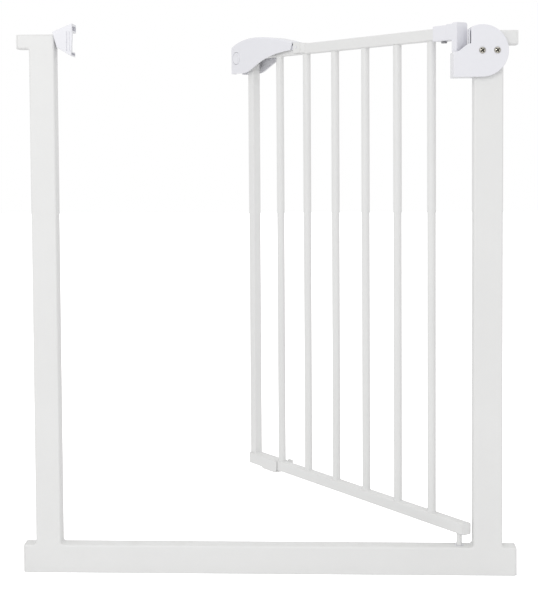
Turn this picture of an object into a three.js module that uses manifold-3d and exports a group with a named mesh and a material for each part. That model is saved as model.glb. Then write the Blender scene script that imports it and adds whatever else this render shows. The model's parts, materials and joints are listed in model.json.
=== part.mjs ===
// Pressure-fit child safety gate: a welded U-frame with a swinging barred door, shown part open.
// Units are millimetres, +Z is up, X runs along the doorway and Y runs through it.
// The origin is the middle of the frame's underside, on the floor.
import * as THREE from "three";
import { mergeVertices } from "three/addons/utils/BufferGeometryUtils.js";
import Module from "manifold-3d";

const wasm = await Module();
wasm.setup();

// ---- driving dimensions -------------------------------------------------------------------
const FRAME_HEIGHT = 760;
const FRAME_HALF_LENGTH = 347.5;
const TUBE_DEPTH = 25;
const TUBE_WALL = 1.5;
const TUBE_CORNER = 3;
const RAIL_HEIGHT = 40;
const STUB_HEIGHT = 20;
const LATCH_POST = { x0: -330, x1: -294 };
const HINGE_POST = { x0: 287, x1: 327.5 };
const GAP = 0.3;
const LEAST_CORNER = 0.4;
const CORNER_SEGMENTS = 4;
// Cutting tools run PAST the face they open, and BEYOND the whole part when they only trim it.
const PAST = 1;
const BEYOND = 100;

const SPINDLE_HOLE_R = 5.3;
const PLUG_FLANGE = 2.2;
const PLUG_SHANK = 20;
const PLUG_SHANK_CORNER = 1.2;
const NUT_SIZE = 16.2;
const NUT_THICK = 8;
const NUT_THREAD_R = 4.9;

const PIVOT_X = 268.5;
const OPEN_ANGLE = THREE.MathUtils.degToRad(51.4);
const DOOR_DEPTH = 15;
const DOOR_CORNER = 1.6;
const DOOR_WALL = 1.2;
const TOP_RAIL = { z0: 749.6, z1: 766.2 };
const LOW_RAIL = { z0: 57.8, z1: 74.3 };
const DOOR_END = 495.4;
const RAIL_START = 12;
const LOW_RAIL_START = -13.3;
const BAR_COUNT = 6;
const BAR_FIRST = 55.4;
const BAR_PITCH = 71.7;
const BAR_R = 6.25;
const BAR_WALL = 1;
const BAR_SEGMENTS = 12;
const STILE_AT = 487.9;

const HOLE_SIDES = 16;
const WELL_SIDES = 48;
const DISC_SEGMENTS = 16;
const HEX = 6;
const SCREW_HOLE_R = 2.3;
const COIL_STEPS = 10;
const CLOSING_SPRING = { r: 6.9, wire: 0.8, z0: 708, z1: 727, turns: 4 };
const BOLT_SPRING = { r: 3.8, wire: 0.5, turns: 4 };
const PIN_R = 4;
const UPPER_PIN = { z0: 700.5, z1: 768, groove: 0.9, groove0: 703, groove1: 706 };
const PIN_COLLAR = { r: 8.6, bore: 3.4, z0: 703.3, z1: 705.7 };
const LOWER_PIN = { z0: 14, z1: 73 };
const BUSH = { r: 6.5, bore: 4.5, z0: 28, rise: 0.2 };
const RAIL_PLUG = { flange: 1.8, shank: 7.5, corner: 0.8 };
const SLEEVE = { u0: -4.8, u1: 43.2, z0: 747.8, z1: 769.5, half: 11 };
const TOWER = { half: 4.8, z0: 731, z1: 772, round: 3.5 };
const SLEEVE_CORNER = 1.5;
const TOWER_BEVEL = 0.8;
const TOWER_SEGMENTS = 6;
const BRACKET_SCREW = { u: 30, headR: 4.3, head: 2.4, shankR: 2, tip: 757 };

const HOUSING = { cx: 297.5, cz: 731.5, r: 35.8, left: 258, slot: 282, half: 22, bevel: 2.5 };
const RAMP = { x0: 262, x1: 281, z0: 730.4, z1: 741.3, steps: 10 };
const WELL_R = 12.5;
const SLOT_RIB = { x0: 281.1, y0: -9.5, y1: -0.5, z0: 742, z1: 761 };
const HOUSING_SCREWS = [{ name: "inner", x: 297.3 }, { name: "outer", x: 317.7 }];
const HOUSING_SCREW_Z = 731.8;
const HOUSING_SCREW = { holeR: 2.4, shankR: 2, y0: -22.6, y1: 21 };
const SCREW_CROSS = { half: 0.5, reach: 2.6, floor: -23 };
const HOUSING_SCREW_HEAD = [[0, -24.2], [2.2, -24], [3.6, -23.3], [4.2, -22.4], [0, -22.4]];
const HOUSING_NUT = { r: 4, y0: 17.8, y1: 20.6, seatR: 4.4, seat: 17.5 };
const CAM_CAVITY = { r: 9.5, z0: 699, z1: 728 };

const CATCH_HALF = 15;
const CATCH_OUTLINE = [
  [-296.2, 763], [-294, 764], [-268.2, 774.7], [-268.2, 763], [-269.6, 736], [-269.6, 729.1],
  [-290, 741.5],
];
const CHANNEL = { x0: -281, z0: 736, z1: 763, half: 8, rim: -268.6 };
const CHEEK_GROOVE = { from: 1, to: 5.4, depth: 2, inset: 0.5 };
const CHEEK_RECESS = { from: 5, depth: 1.2 };
const CATCH_SCREW = { x: -283.7, z: 749.5, headSeatR: 4, holeR: 1.9, shankR: 1.5, length: 14 };
const CATCH_SCREW_HEAD = [[0, 0], [3.4, 0], [3.2, 1.3], [2, 2], [0, 2.2]];

const CLIP = { u0: 418, u1: 497.2, wall: 1.5, lip: 0.4, farEnd: 398, farThick: 1, coreEnd: 390 };
const CLIP_RIDGE = { u0: 398, u1: 408, z0: 66, z1: 77.4, thick: 1.6 };
const CLIP_PAD = { top0: 418, low0: 421, low1: 456, top1: 463, z: 53.4 };

const LEVER_PIVOT = { u: 355, z: 761 };
const LEVER_PIN = { r: 2, half: 12.4 };
// Outline of the arched cover as u and z, walked clockwise from the latch end.
const COVER_TOP = [
  [532.4, 771], [530, 772.8], [521, 776], [510, 780], [498, 782.4], [484, 783.8], [468, 784.4],
  [452, 784.2], [436, 783], [420, 781], [404, 778.3], [388, 775.2], [376, 772.4], [365, 769.6],
];
const COVER_BOTTOM = [
  [365, 766], [370, 757], [384, 756.2], [402, 754.3], [420, 751.2], [437, 746.4], [454, 740],
  [470, 732.8], [480, 728.8], [489, 726.6], [500, 726], [532.4, 726],
];
const COVER_HALF = 17;
const COVER_BEVEL = 1.6;
const COVER_WALL = 2.2;
const COVER_THIN = { wall: 1.4, below: 390 };
const COVER_TAPER = { scale: 0.74, u0: 365, u1: 455, step: 10, end: 540 };
const COVER_HOLLOW = { u0: 340, u1: 530, step: 12, z: 715 };
const BOLT_SLOT = { u0: 525, u1: 540, half: 8, z0: 720, z1: 760 };
const EAR = { u0: 350.5, u1: 374, z0: 757.2, z1: 764.8, y0: 7.9, y1: 9.6 };
const EAR_ROOT = { u0: 370.6, u1: 376, z0: 758.5, y1: 11.8 };

const STRIP_TOP = 767.6;
const BASE_TAIL = [
  [-361.6, 751.6], [-362.6, 769.2], [-356, 768.6], [-347.5, 767], [-345.5, 763], [-345.5, 754],
  [-347.5, 751.6],
];
const BASE_TAIL_HALF = 12;
const BASE_TAIL_ROOM = { u0: 340, u1: 365, half: 9.9 };
const BASE_STRIP = { u0: 350, u1: 505, half: 7.4 };
const BASE_BLOCK = { u1: 528, half: 9.5, z0: 735, wall: 5 };
const BASE_SCREW = { u: 440, headR: 3.6, head: 1.7, shankR: 1.8, holeR: 2.1, tip: 756 };
const BOLT = { u0: 514.5, u1: 546.5, z0: 742, z1: 757, half: 6, nose: 5, play: 0.4 };
const BUTTON = { u: 516, z: 752, r: 10.5, y0: -17.6, y1: -13.2 };
const BUTTON_FLANGE = { r: 12.1, y0: -14.4, y1: -13 };

// ---- materials ----------------------------------------------------------------------------
const paint = new THREE.MeshStandardMaterial({ color: 0xe4e4e2, roughness: 0.42, metalness: 0 });
const plastic = new THREE.MeshStandardMaterial({ color: 0xe5e4ea, roughness: 0.38, metalness: 0 });
const darkSteel = new THREE.MeshStandardMaterial({ color: 0x6a6a6c, roughness: 0.4, metalness: 1 });
const chrome = new THREE.MeshStandardMaterial({ color: 0xc9c7c0, roughness: 0.2, metalness: 1 });

// ---- solids and booleans ------------------------------------------------------------------
function toSolid(geometry) {
  const bare = geometry.clone();
  bare.deleteAttribute("normal");
  bare.deleteAttribute("uv");
  const merged = mergeVertices(bare.index ? bare.toNonIndexed() : bare, 1e-4);
  return new wasm.Manifold(new wasm.Mesh({
    numProp: 3,
    vertProperties: merged.attributes.position.array,
    triVerts: new Uint32Array(merged.index.array),
  }));
}

function toGeometry(solid) {
  const mesh = solid.getMesh();
  const geometry = new THREE.BufferGeometry();
  geometry.setAttribute("position", new THREE.BufferAttribute(mesh.vertProperties, 3));
  geometry.setIndex(new THREE.BufferAttribute(mesh.triVerts, 1));
  return geometry;
}

// Joins the first list and takes the second list away from it.
function shape(adds, cuts = []) {
  let solid = toSolid(adds[0]);
  for (const extra of adds.slice(1)) solid = solid.add(toSolid(extra));
  for (const cut of cuts) solid = solid.subtract(toSolid(cut));
  return toGeometry(solid);
}

function common(a, b) {
  return toGeometry(toSolid(a).intersect(toSolid(b)));
}

function box(x0, x1, y0, y1, z0, z1) {
  const geometry = new THREE.BoxGeometry(x1 - x0, y1 - y0, z1 - z0);
  return geometry.translate((x0 + x1) / 2, (y0 + y1) / 2, (z0 + z1) / 2);
}

function rodZ(r, z0, z1, x = 0, y = 0, sides = 32) {
  const geometry = new THREE.CylinderGeometry(r, r, z1 - z0, sides);
  return geometry.rotateX(Math.PI / 2).translate(x, y, (z0 + z1) / 2);
}

function rodX(r, x0, x1, y, z, sides = 32) {
  const geometry = new THREE.CylinderGeometry(r, r, x1 - x0, sides);
  return geometry.rotateZ(Math.PI / 2).translate((x0 + x1) / 2, y, z);
}

function rodY(r, y0, y1, x, z, sides = 32) {
  const geometry = new THREE.CylinderGeometry(r, r, y1 - y0, sides);
  return geometry.translate(x, (y0 + y1) / 2, z);
}

// A rectangle with round corners, centred on the origin.
function roundedRect(width, height, radius, target = new THREE.Shape()) {
  const w = width / 2 - radius;
  const h = height / 2 - radius;
  target.absarc(w, h, radius, 0, Math.PI / 2);
  target.absarc(-w, h, radius, Math.PI / 2, Math.PI);
  target.absarc(-w, -h, radius, Math.PI, 1.5 * Math.PI);
  target.absarc(w, -h, radius, 1.5 * Math.PI, 2 * Math.PI);
  return target;
}

function section(width, height, radius, wall) {
  const outline = roundedRect(width, height, radius);
  if (wall > 0) {
    const inner = Math.max(radius - wall, LEAST_CORNER);
    outline.holes.push(roundedRect(width - 2 * wall, height - 2 * wall, inner, new THREE.Path()));
  }
  return outline;
}

function extruded(outline, depth, curveSegments = CORNER_SEGMENTS) {
  return new THREE.ExtrudeGeometry(outline, { depth, bevelEnabled: false, curveSegments });
}

// A bar of section (tall in Z, deep in Y) along X; wall 0 makes it solid.
function barX(x0, x1, yMid, z0, z1, depth, radius, wall = 0) {
  const geometry = extruded(section(z1 - z0, depth, radius, wall), x1 - x0);
  return geometry.rotateY(Math.PI / 2).translate(x0, yMid, (z0 + z1) / 2);
}

// The same standing up along Z.
function barZ(z0, z1, x0, x1, depth, radius, wall = 0) {
  const geometry = extruded(section(x1 - x0, depth, radius, wall), z1 - z0);
  return geometry.translate((x0 + x1) / 2, 0, z0);
}

// An outline drawn in X and Z, given thickness from -half to +half in Y.
function slab(outline, half, bevel = 0, curveSegments = 10) {
  const geometry = new THREE.ExtrudeGeometry(outline, {
    depth: 2 * (half - bevel),
    bevelEnabled: bevel > 0,
    bevelThickness: bevel,
    bevelSize: bevel,
    bevelOffset: -bevel,
    bevelSegments: 3,
    curveSegments,
  });
  return geometry.translate(0, 0, bevel - half).rotateX(Math.PI / 2);
}

function polygon(points) {
  return new THREE.Shape(points.map(([x, z]) => new THREE.Vector2(x, z)));
}

// Turned parts: profile is a list of [radius, height] that starts and ends on the axis.
function turned(profile, sides = 24) {
  const points = profile.map(([r, h]) => new THREE.Vector2(r, h));
  return new THREE.LatheGeometry(points, sides);
}

function part(name, geometry, material) {
  const mesh = new THREE.Mesh(geometry, material);
  mesh.name = name;
  return mesh;
}

// ---- welded frame -------------------------------------------------------------------------
function bottomRail() {
  const end = FRAME_HALF_LENGTH - PLUG_FLANGE - GAP;
  const tube = barX(-end, end, 0, 0, RAIL_HEIGHT, TUBE_DEPTH, TUBE_CORNER, TUBE_WALL);
  const bushHole = rodZ(BUSH.r + GAP, BUSH.z0, RAIL_HEIGHT + PAST, PIVOT_X);
  return part("bottom_rail", shape([tube], [bushHole]), paint);
}

function upright(name, post, cuts) {
  const top = FRAME_HEIGHT - STUB_HEIGHT - GAP;
  const tube = barZ(RAIL_HEIGHT + GAP, top, post.x0, post.x1, TUBE_DEPTH, TUBE_CORNER, TUBE_WALL);
  return part(name, shape([tube], cuts), paint);
}

function topStub(side) {
  const post = side < 0 ? LATCH_POST : HINGE_POST;
  const inner = side < 0 ? post.x1 : post.x0;
  const outer = side * (FRAME_HALF_LENGTH - PLUG_FLANGE - GAP);
  const z0 = FRAME_HEIGHT - STUB_HEIGHT;
  const [x0, x1] = side < 0 ? [outer, inner] : [inner, outer];
  const solid = barX(x0, x1, 0, z0, FRAME_HEIGHT, TUBE_DEPTH, TUBE_CORNER);
  const [h0, h1] = side < 0 ? [x0 - PAST, x1 - TUBE_WALL] : [x0 + TUBE_WALL, x1 + PAST];
  const roof = FRAME_HEIGHT - TUBE_WALL;
  const depth = TUBE_DEPTH - 2 * TUBE_WALL;
  const bore = barX(h0, h1, 0, z0 + TUBE_WALL, roof, depth, TUBE_CORNER - TUBE_WALL);
  const cuts = side < 0 ? [bore, catchScrewHole()] : [bore];
  return part(side < 0 ? "top_stub_left" : "top_stub_right", shape([solid], cuts), paint);
}

// End plug with its spindle hole, drawn for the right end and turned round for the left.
function endPlug(name, side, z0, z1) {
  const inset = TUBE_WALL + GAP;
  const x0 = FRAME_HALF_LENGTH - PLUG_FLANGE;
  const flange = barX(x0, FRAME_HALF_LENGTH, 0, z0, z1, TUBE_DEPTH, TUBE_CORNER);
  const depth = TUBE_DEPTH - 2 * inset;
  const shank = barX(x0 - PLUG_SHANK, x0 + PAST, 0, z0 + inset, z1 - inset, depth, PLUG_SHANK_CORNER);
  const middle = (z0 + z1) / 2;
  const hole = rodX(SPINDLE_HOLE_R, x0 - PLUG_SHANK - PAST, FRAME_HALF_LENGTH + PAST, 0, middle);
  const mesh = part(name, shape([flange, shank], [hole]), plastic);
  mesh.rotation.z = side < 0 ? Math.PI : 0;
  return mesh;
}

function spindleNut(name, side, zMid) {
  const x1 = FRAME_HALF_LENGTH - PLUG_FLANGE - PLUG_SHANK - GAP;
  const half = NUT_SIZE / 2;
  const block = box(x1 - NUT_THICK, x1, -half, half, zMid - half, zMid + half);
  const hole = rodX(NUT_THREAD_R, x1 - NUT_THICK - PAST, x1 + PAST, 0, zMid);
  const mesh = part(name, shape([block], [hole]), darkSteel);
  mesh.rotation.z = side < 0 ? Math.PI : 0;
  return mesh;
}

function socketPieces() {
  const pieces = [];
  for (const [end, side] of [["left", -1], ["right", 1]]) {
    pieces.push(endPlug(`end_plug_bottom_${end}`, side, 0, RAIL_HEIGHT));
    pieces.push(endPlug(`end_plug_top_${end}`, side, FRAME_HEIGHT - STUB_HEIGHT, FRAME_HEIGHT));
    pieces.push(spindleNut(`spindle_nut_bottom_${end}`, side, RAIL_HEIGHT / 2));
    pieces.push(spindleNut(`spindle_nut_top_${end}`, side, FRAME_HEIGHT - STUB_HEIGHT / 2));
  }
  return pieces;
}

// ---- latch catch on the left post ---------------------------------------------------------
function catchScrewHole() {
  const { x, z, holeR, length } = CATCH_SCREW;
  return rodX(holeR, x - length - PAST, x + length, 0, z, HOLE_SIDES);
}

// Shallow relief on the catch's two outer cheeks, from and to measured in from the channel's end.
function cheekCuts(from, to, depth, inset) {
  const { x0, z0, z1 } = CHANNEL;
  return [-1, 1].map((side) => {
    const [y0, y1] = side < 0 ? [-BEYOND, depth - CATCH_HALF] : [CATCH_HALF - depth, BEYOND];
    return box(x0 + from, x0 + to, y0, y1, z0 + inset, z1 - inset);
  });
}

function latchCatch() {
  const { x0, z0, z1, half, rim } = CHANNEL;
  const body = slab(polygon(CATCH_OUTLINE), CATCH_HALF);
  const clear = TUBE_DEPTH / 2 + GAP;
  const postSide = LATCH_POST.x1 + GAP;
  const post = box(postSide - BEYOND, postSide, -clear, clear, z0 - BEYOND, z1 + BEYOND);
  const channel = box(x0, x0 + BEYOND, -half, half, z0, z1);
  const trim = box(rim, rim + BEYOND, -BEYOND, BEYOND, z0, z1);
  const headSeat = rodX(CATCH_SCREW.headSeatR, CATCH_SCREW.x - GAP, x0 + PAST, 0, CATCH_SCREW.z);
  const groove = CHEEK_GROOVE;
  const cuts = [
    post, channel, trim, headSeat, catchScrewHole(),
    ...cheekCuts(groove.from, groove.to, groove.depth, groove.inset),
    ...cheekCuts(CHEEK_RECESS.from, BEYOND, CHEEK_RECESS.depth, 0),
  ];
  return part("latch_catch", shape([body], cuts), plastic);
}

function catchScrew() {
  const shank = rodY(CATCH_SCREW.shankR, -CATCH_SCREW.length, GAP, 0, 0, HOLE_SIDES);
  const geometry = shape([turned(CATCH_SCREW_HEAD), shank]);
  geometry.rotateZ(-Math.PI / 2).translate(CATCH_SCREW.x, 0, CATCH_SCREW.z);
  return part("catch_screw", geometry, darkSteel);
}

// ---- hinge housing on the right post ------------------------------------------------------
function housingScrewHoles() {
  const r = HOUSING_SCREW.holeR;
  return HOUSING_SCREWS.map(({ x }) => rodY(r, -BEYOND, BEYOND, x, HOUSING_SCREW_Z, HOLE_SIDES));
}

function housingOutline() {
  const { cx, cz, r, left, slot } = HOUSING;
  const slotAngle = Math.acos((slot - cx) / r);
  const outline = new THREE.Shape();
  outline.moveTo(left, cz - r);
  outline.lineTo(cx, cz - r);
  outline.absarc(cx, cz, r, -Math.PI / 2, slotAngle, false);
  outline.lineTo(slot, RAMP.z1);
  for (let i = RAMP.steps; i >= 0; i--) {
    const x = RAMP.x0 + ((RAMP.x1 - RAMP.x0) * i) / RAMP.steps;
    outline.lineTo(x, RAMP.z0 + (RAMP.z1 - RAMP.z0) * THREE.MathUtils.smoothstep(x, RAMP.x0, RAMP.x1));
  }
  outline.lineTo(left, RAMP.z0);
  outline.closePath();
  return outline;
}

function postRoom() {
  const clear = TUBE_DEPTH / 2 + GAP;
  const x0 = HINGE_POST.x0 - GAP;
  const top = FRAME_HEIGHT + GAP;
  return [
    box(x0, HINGE_POST.x1 + GAP, -clear, clear, top - 2 * BEYOND, top),
    box(x0, x0 + BEYOND, -clear, clear, FRAME_HEIGHT - STUB_HEIGHT - GAP, top),
  ];
}

function hingeRoom() {
  const { r, z0, z1 } = CAM_CAVITY;
  return [
    rodZ(r, z0, z1, PIVOT_X),
    rodZ(PIN_R + GAP, z1 - PAST, FRAME_HEIGHT, PIVOT_X),
    rodZ(WELL_R, RAMP.z0, FRAME_HEIGHT, PIVOT_X, 0, WELL_SIDES),
  ];
}

function nutSeats() {
  const { seatR, seat } = HOUSING_NUT;
  return HOUSING_SCREWS.map(({ x }) => rodY(seatR, seat, BEYOND, x, HOUSING_SCREW_Z, HEX));
}

function slotRib() {
  const { x0, y0, y1, z0, z1 } = SLOT_RIB;
  return box(x0, HOUSING.slot + PAST, y0, y1, z0, z1);
}

function housingShell(name, side) {
  const { cx, cz, half, bevel } = HOUSING;
  const whole = slab(housingOutline(), half, bevel, DISC_SEGMENTS);
  const [y0, y1] = side < 0 ? [-half - PAST, -GAP / 2] : [GAP / 2, half + PAST];
  const shell = common(whole, box(cx - BEYOND, cx + BEYOND, y0, y1, cz - BEYOND, cz + BEYOND));
  const cuts = [...postRoom(), ...housingScrewHoles(), ...hingeRoom()];
  const hollow = shape([shell], side < 0 ? cuts : [...cuts, ...nutSeats()]);
  return part(name, side < 0 ? shape([hollow, slotRib()]) : hollow, plastic);
}

function housingScrew(name, x) {
  const { shankR, y0, y1 } = HOUSING_SCREW;
  const { half, reach, floor } = SCREW_CROSS;
  const shank = rodY(shankR, y0, y1, 0, 0, HOLE_SIDES);
  const cross = [
    box(-half, half, -BEYOND, floor, -reach, reach),
    box(-reach, reach, -BEYOND, floor, -half, half),
  ];
  const geometry = shape([turned(HOUSING_SCREW_HEAD), shank], cross);
  return part(name, geometry.translate(x, 0, HOUSING_SCREW_Z), chrome);
}

function housingNut(name, x) {
  const { r, y0, y1 } = HOUSING_NUT;
  const nut = rodY(r, y0, y1, x, HOUSING_SCREW_Z, HEX);
  const thread = rodY(SCREW_HOLE_R, y0 - PAST, y1 + PAST, x, HOUSING_SCREW_Z, HOLE_SIDES);
  return part(name, shape([nut], [thread]), darkSteel);
}

// The closing spring: a round-wire helix round the upper pin, inside the housing.
class Helix extends THREE.Curve {
  constructor(radius, z0, z1, turns) {
    super();
    Object.assign(this, { radius, z0, z1, turns });
  }
  getPoint(t, target = new THREE.Vector3()) {
    const a = 2 * Math.PI * this.turns * t;
    const z = THREE.MathUtils.lerp(this.z0, this.z1, t);
    return target.set(this.radius * Math.cos(a), this.radius * Math.sin(a), z);
  }
}

function wireCoil(radius, wire, z0, z1, turns) {
  const outline = new THREE.Shape().absarc(0, 0, wire, 0, 2 * Math.PI);
  return new THREE.ExtrudeGeometry(outline, {
    steps: turns * COIL_STEPS,
    bevelEnabled: false,
    extrudePath: new Helix(radius, z0, z1, turns),
    curveSegments: 3,
  });
}

function closingSpring() {
  const { r, wire, z0, z1, turns } = CLOSING_SPRING;
  const coil = wireCoil(r, wire, z0, z1, turns);
  return part("closing_spring", coil.translate(PIVOT_X, 0, 0), darkSteel);
}

function lowerBush() {
  const { r, bore, z0, rise } = BUSH;
  const sleeve = rodZ(r, z0, RAIL_HEIGHT + rise, PIVOT_X);
  const hole = rodZ(bore, z0 - PAST, RAIL_HEIGHT + PAST, PIVOT_X);
  return part("lower_pivot_bush", shape([sleeve], [hole]), plastic);
}

// ---- door: drawn shut, with x measured back from the hinge line ---------------------------
// u is the distance from the hinge line towards the latch, so x = -u in the door's own group.
function doorBar(name, u0, u1, z0, z1, cuts = []) {
  const tube = barX(-u1, -u0, 0, z0, z1, DOOR_DEPTH, DOOR_CORNER, DOOR_WALL);
  return part(name, shape([tube], cuts), paint);
}

function bracketScrewHole() {
  const { u } = BRACKET_SCREW;
  return rodZ(SCREW_HOLE_R, SLEEVE.z0 - PAST, TOP_RAIL.z0 + 2 * DOOR_WALL, -u, 0, HOLE_SIDES);
}

function leverPinHole() {
  return rodY(SCREW_HOLE_R, -COVER_HALF, COVER_HALF, -LEVER_PIVOT.u, LEVER_PIVOT.z, HOLE_SIDES);
}

function baseScrewHole() {
  const { u, holeR } = BASE_SCREW;
  return rodZ(holeR, TOP_RAIL.z1 - 2 * DOOR_WALL, STRIP_TOP + PAST, -u, 0, HOLE_SIDES);
}

function doorTopRail() {
  const cuts = [bracketScrewHole(), leverPinHole(), baseScrewHole()];
  return doorBar("door_top_rail", RAIL_START, DOOR_END, TOP_RAIL.z0, TOP_RAIL.z1, cuts);
}

function doorBottomRail() {
  const pinHole = rodZ(PIN_R + GAP, LOW_RAIL.z0 - PAST, LOW_RAIL.z1 + PAST);
  return doorBar("door_bottom_rail", LOW_RAIL_START, DOOR_END, LOW_RAIL.z0, LOW_RAIL.z1, [pinHole]);
}

function latchStile() {
  const z0 = LOW_RAIL.z1 + GAP;
  const z1 = TOP_RAIL.z0 - GAP;
  const half = DOOR_DEPTH / 2;
  const tube = barZ(z0, z1, -STILE_AT - half, -STILE_AT + half, DOOR_DEPTH, DOOR_CORNER, DOOR_WALL);
  return part("latch_stile", tube, paint);
}

function bars() {
  const pieces = [];
  const z0 = LOW_RAIL.z1 + GAP;
  const z1 = TOP_RAIL.z0 - GAP;
  for (let i = 0; i < BAR_COUNT; i++) {
    const outline = new THREE.Shape().absarc(0, 0, BAR_R, 0, 2 * Math.PI);
    outline.holes.push(new THREE.Path().absarc(0, 0, BAR_R - BAR_WALL, 0, 2 * Math.PI));
    const tube = extruded(outline, z1 - z0, BAR_SEGMENTS);
    tube.translate(-(BAR_FIRST + i * BAR_PITCH), 0, z0);
    pieces.push(part(`bar_${i + 1}`, tube, paint));
  }
  return pieces;
}

function hingeTower() {
  const { z0, z1, half, round } = TOWER;
  const reach = SLEEVE.half;
  const outline = new THREE.Shape();
  outline.moveTo(-reach, z0);
  outline.lineTo(reach, z0);
  outline.absarc(reach - round, z1 - round, round, 0, Math.PI / 2);
  outline.absarc(round - reach, z1 - round, round, Math.PI / 2, Math.PI);
  return slab(outline, half, TOWER_BEVEL, TOWER_SEGMENTS).rotateZ(Math.PI / 2);
}

function hingeBracket() {
  const { u0, u1, z0, z1, half } = SLEEVE;
  const sleeve = barX(-u1, -u0, 0, z0, z1, 2 * half, SLEEVE_CORNER);
  const clear = DOOR_DEPTH / 2 + GAP;
  const inner = GAP - RAIL_START;
  const pocket = box(-u1 - PAST, inner, -clear, clear, TOP_RAIL.z0 - GAP, TOP_RAIL.z1 + GAP);
  const pinHole = rodZ(PIN_R + GAP, TOWER.z0 - PAST, UPPER_PIN.z1 + GAP);
  const cuts = [pocket, pinHole, bracketScrewHole()];
  return part("hinge_bracket", shape([sleeve, hingeTower()], cuts), plastic);
}

function bracketScrew() {
  const { u, headR, head, shankR, tip } = BRACKET_SCREW;
  const top = SLEEVE.z0 - GAP;
  const hex = rodZ(headR, top - head, top, -u, 0, HEX);
  const shank = rodZ(shankR, top - PAST, tip, -u, 0, HOLE_SIDES);
  return part("bracket_screw", shape([hex, shank]), darkSteel);
}

function upperPin() {
  const { z0, z1, groove, groove0, groove1 } = UPPER_PIN;
  const ring = shape(
    [rodZ(PIN_R + PAST, groove0, groove1)],
    [rodZ(PIN_R - groove, groove0 - PAST, groove1 + PAST)],
  );
  return part("upper_pivot_pin", shape([rodZ(PIN_R, z0, z1)], [ring]), darkSteel);
}

function pinCollar() {
  const { r, bore, z0, z1 } = PIN_COLLAR;
  return part("pin_collar", shape([rodZ(r, z0, z1)], [rodZ(bore, z0 - PAST, z1 + PAST)]), darkSteel);
}

function lowerPin() {
  return part("lower_pivot_pin", rodZ(PIN_R, LOWER_PIN.z0, LOWER_PIN.z1), paint);
}

function doorRailPlug() {
  const { flange, shank, corner } = RAIL_PLUG;
  const x0 = GAP - LOW_RAIL_START;
  const inset = DOOR_WALL + GAP;
  const cap = barX(x0, x0 + flange, 0, LOW_RAIL.z0, LOW_RAIL.z1, DOOR_DEPTH, DOOR_CORNER);
  const z0 = LOW_RAIL.z0 + inset;
  const z1 = LOW_RAIL.z1 - inset;
  const body = barX(x0 - shank, x0 + PAST, 0, z0, z1, DOOR_DEPTH - 2 * inset, corner);
  return part("door_rail_plug", shape([cap, body]), plastic);
}

function bottomGuideClip() {
  const { u0, u1, wall, lip, farEnd, farThick, coreEnd } = CLIP;
  const inner = DOOR_DEPTH / 2 + GAP;
  const outer = inner + wall;
  const floor = LOW_RAIL.z0 - GAP;
  const top = LOW_RAIL.z1 - lip;
  const sleeve = box(-u1, -u0, -outer, outer, floor - wall, top);
  const farWall = box(-u1, -farEnd, inner, outer + farThick, floor - wall, top);
  const { thick, ...at } = CLIP_RIDGE;
  const ridge = box(-at.u1, -at.u0, inner, outer + thick, at.z0, at.z1);
  const { top0, low0, low1, top1, z } = CLIP_PAD;
  const padRoof = floor - PAST;
  const pad = slab(polygon([[-top1, padRoof], [-low1, z], [-low0, z], [-top0, padRoof]]), outer);
  const core = box(-DOOR_END - GAP, -coreEnd, -inner, inner, floor, floor + BEYOND);
  return part("bottom_guide_clip", shape([sleeve, farWall, ridge, pad], [core]), plastic);
}

// ---- latch handle -------------------------------------------------------------------------
function coverTop(u) {
  for (let i = 1; i < COVER_TOP.length; i++) {
    const [a, za] = COVER_TOP[i - 1];
    const [b, zb] = COVER_TOP[i];
    if (u <= a && u >= b) return za + ((zb - za) * (a - u)) / (a - b);
  }
  return u > COVER_TOP[0][0] ? COVER_TOP[0][1] : COVER_TOP.at(-1)[1];
}

// The cover narrows towards its tail: this block, seen from above, trims a slab to that plan.
function taperedPlan(half) {
  const { scale, u0, u1, step, end } = COVER_TAPER;
  const side = [];
  for (let u = COVER_HOLLOW.u0; u < end; u += step) {
    const narrowing = 1 - THREE.MathUtils.smoothstep(u, u0, u1);
    side.push([-u, half - COVER_HALF * (1 - scale) * narrowing]);
  }
  side.push([-end, half]);
  const outline = polygon([...side, ...side.map(([x, y]) => [x, -y]).reverse()]);
  return extruded(outline, 2 * BEYOND).translate(0, 0, LEVER_PIVOT.z - BEYOND);
}

function coverCavity() {
  const { u0, u1, step, z } = COVER_HOLLOW;
  const ceiling = [];
  for (let u = u1; u >= LEVER_PIVOT.u; u -= step) {
    ceiling.push([-u, coverTop(u) - (u > COVER_THIN.below ? COVER_WALL : COVER_THIN.wall)]);
  }
  const hollow = polygon([[-u1, z], ...ceiling, [-u0, z]]);
  return common(slab(hollow, COVER_HALF), taperedPlan(COVER_HALF - COVER_WALL));
}

// Lugs inside the cover's tail that turn on the lever pin, one each side of the rail.
function coverEars() {
  const ears = [];
  for (const side of [-1, 1]) {
    const flip = (y0, y1) => (side < 0 ? [-y1, -y0] : [y0, y1]);
    ears.push(box(-EAR.u1, -EAR.u0, ...flip(EAR.y0, EAR.y1), EAR.z0, EAR.z1));
    ears.push(box(-EAR_ROOT.u1, -EAR_ROOT.u0, ...flip(EAR.y0, EAR_ROOT.y1), EAR_ROOT.z0, EAR.z1));
  }
  return ears;
}

function handleCover() {
  const outline = polygon([...COVER_TOP, ...COVER_BOTTOM].map(([u, z]) => [-u, z]));
  const outer = common(slab(outline, COVER_HALF, COVER_BEVEL), taperedPlan(COVER_HALF));
  const { u0, u1, half, z0, z1 } = BOLT_SLOT;
  const boltSlot = box(-u1, -u0, -half, half, z0, z1);
  const buttonHole = rodY(BUTTON.r + GAP, -COVER_HALF - PAST, -COVER_HALF / 2, -BUTTON.u, BUTTON.z);
  const shell = shape([outer], [coverCavity(), boltSlot, buttonHole]);
  return part("handle_cover", shape([shell, ...coverEars()], [leverPinHole()]), plastic);
}

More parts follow.
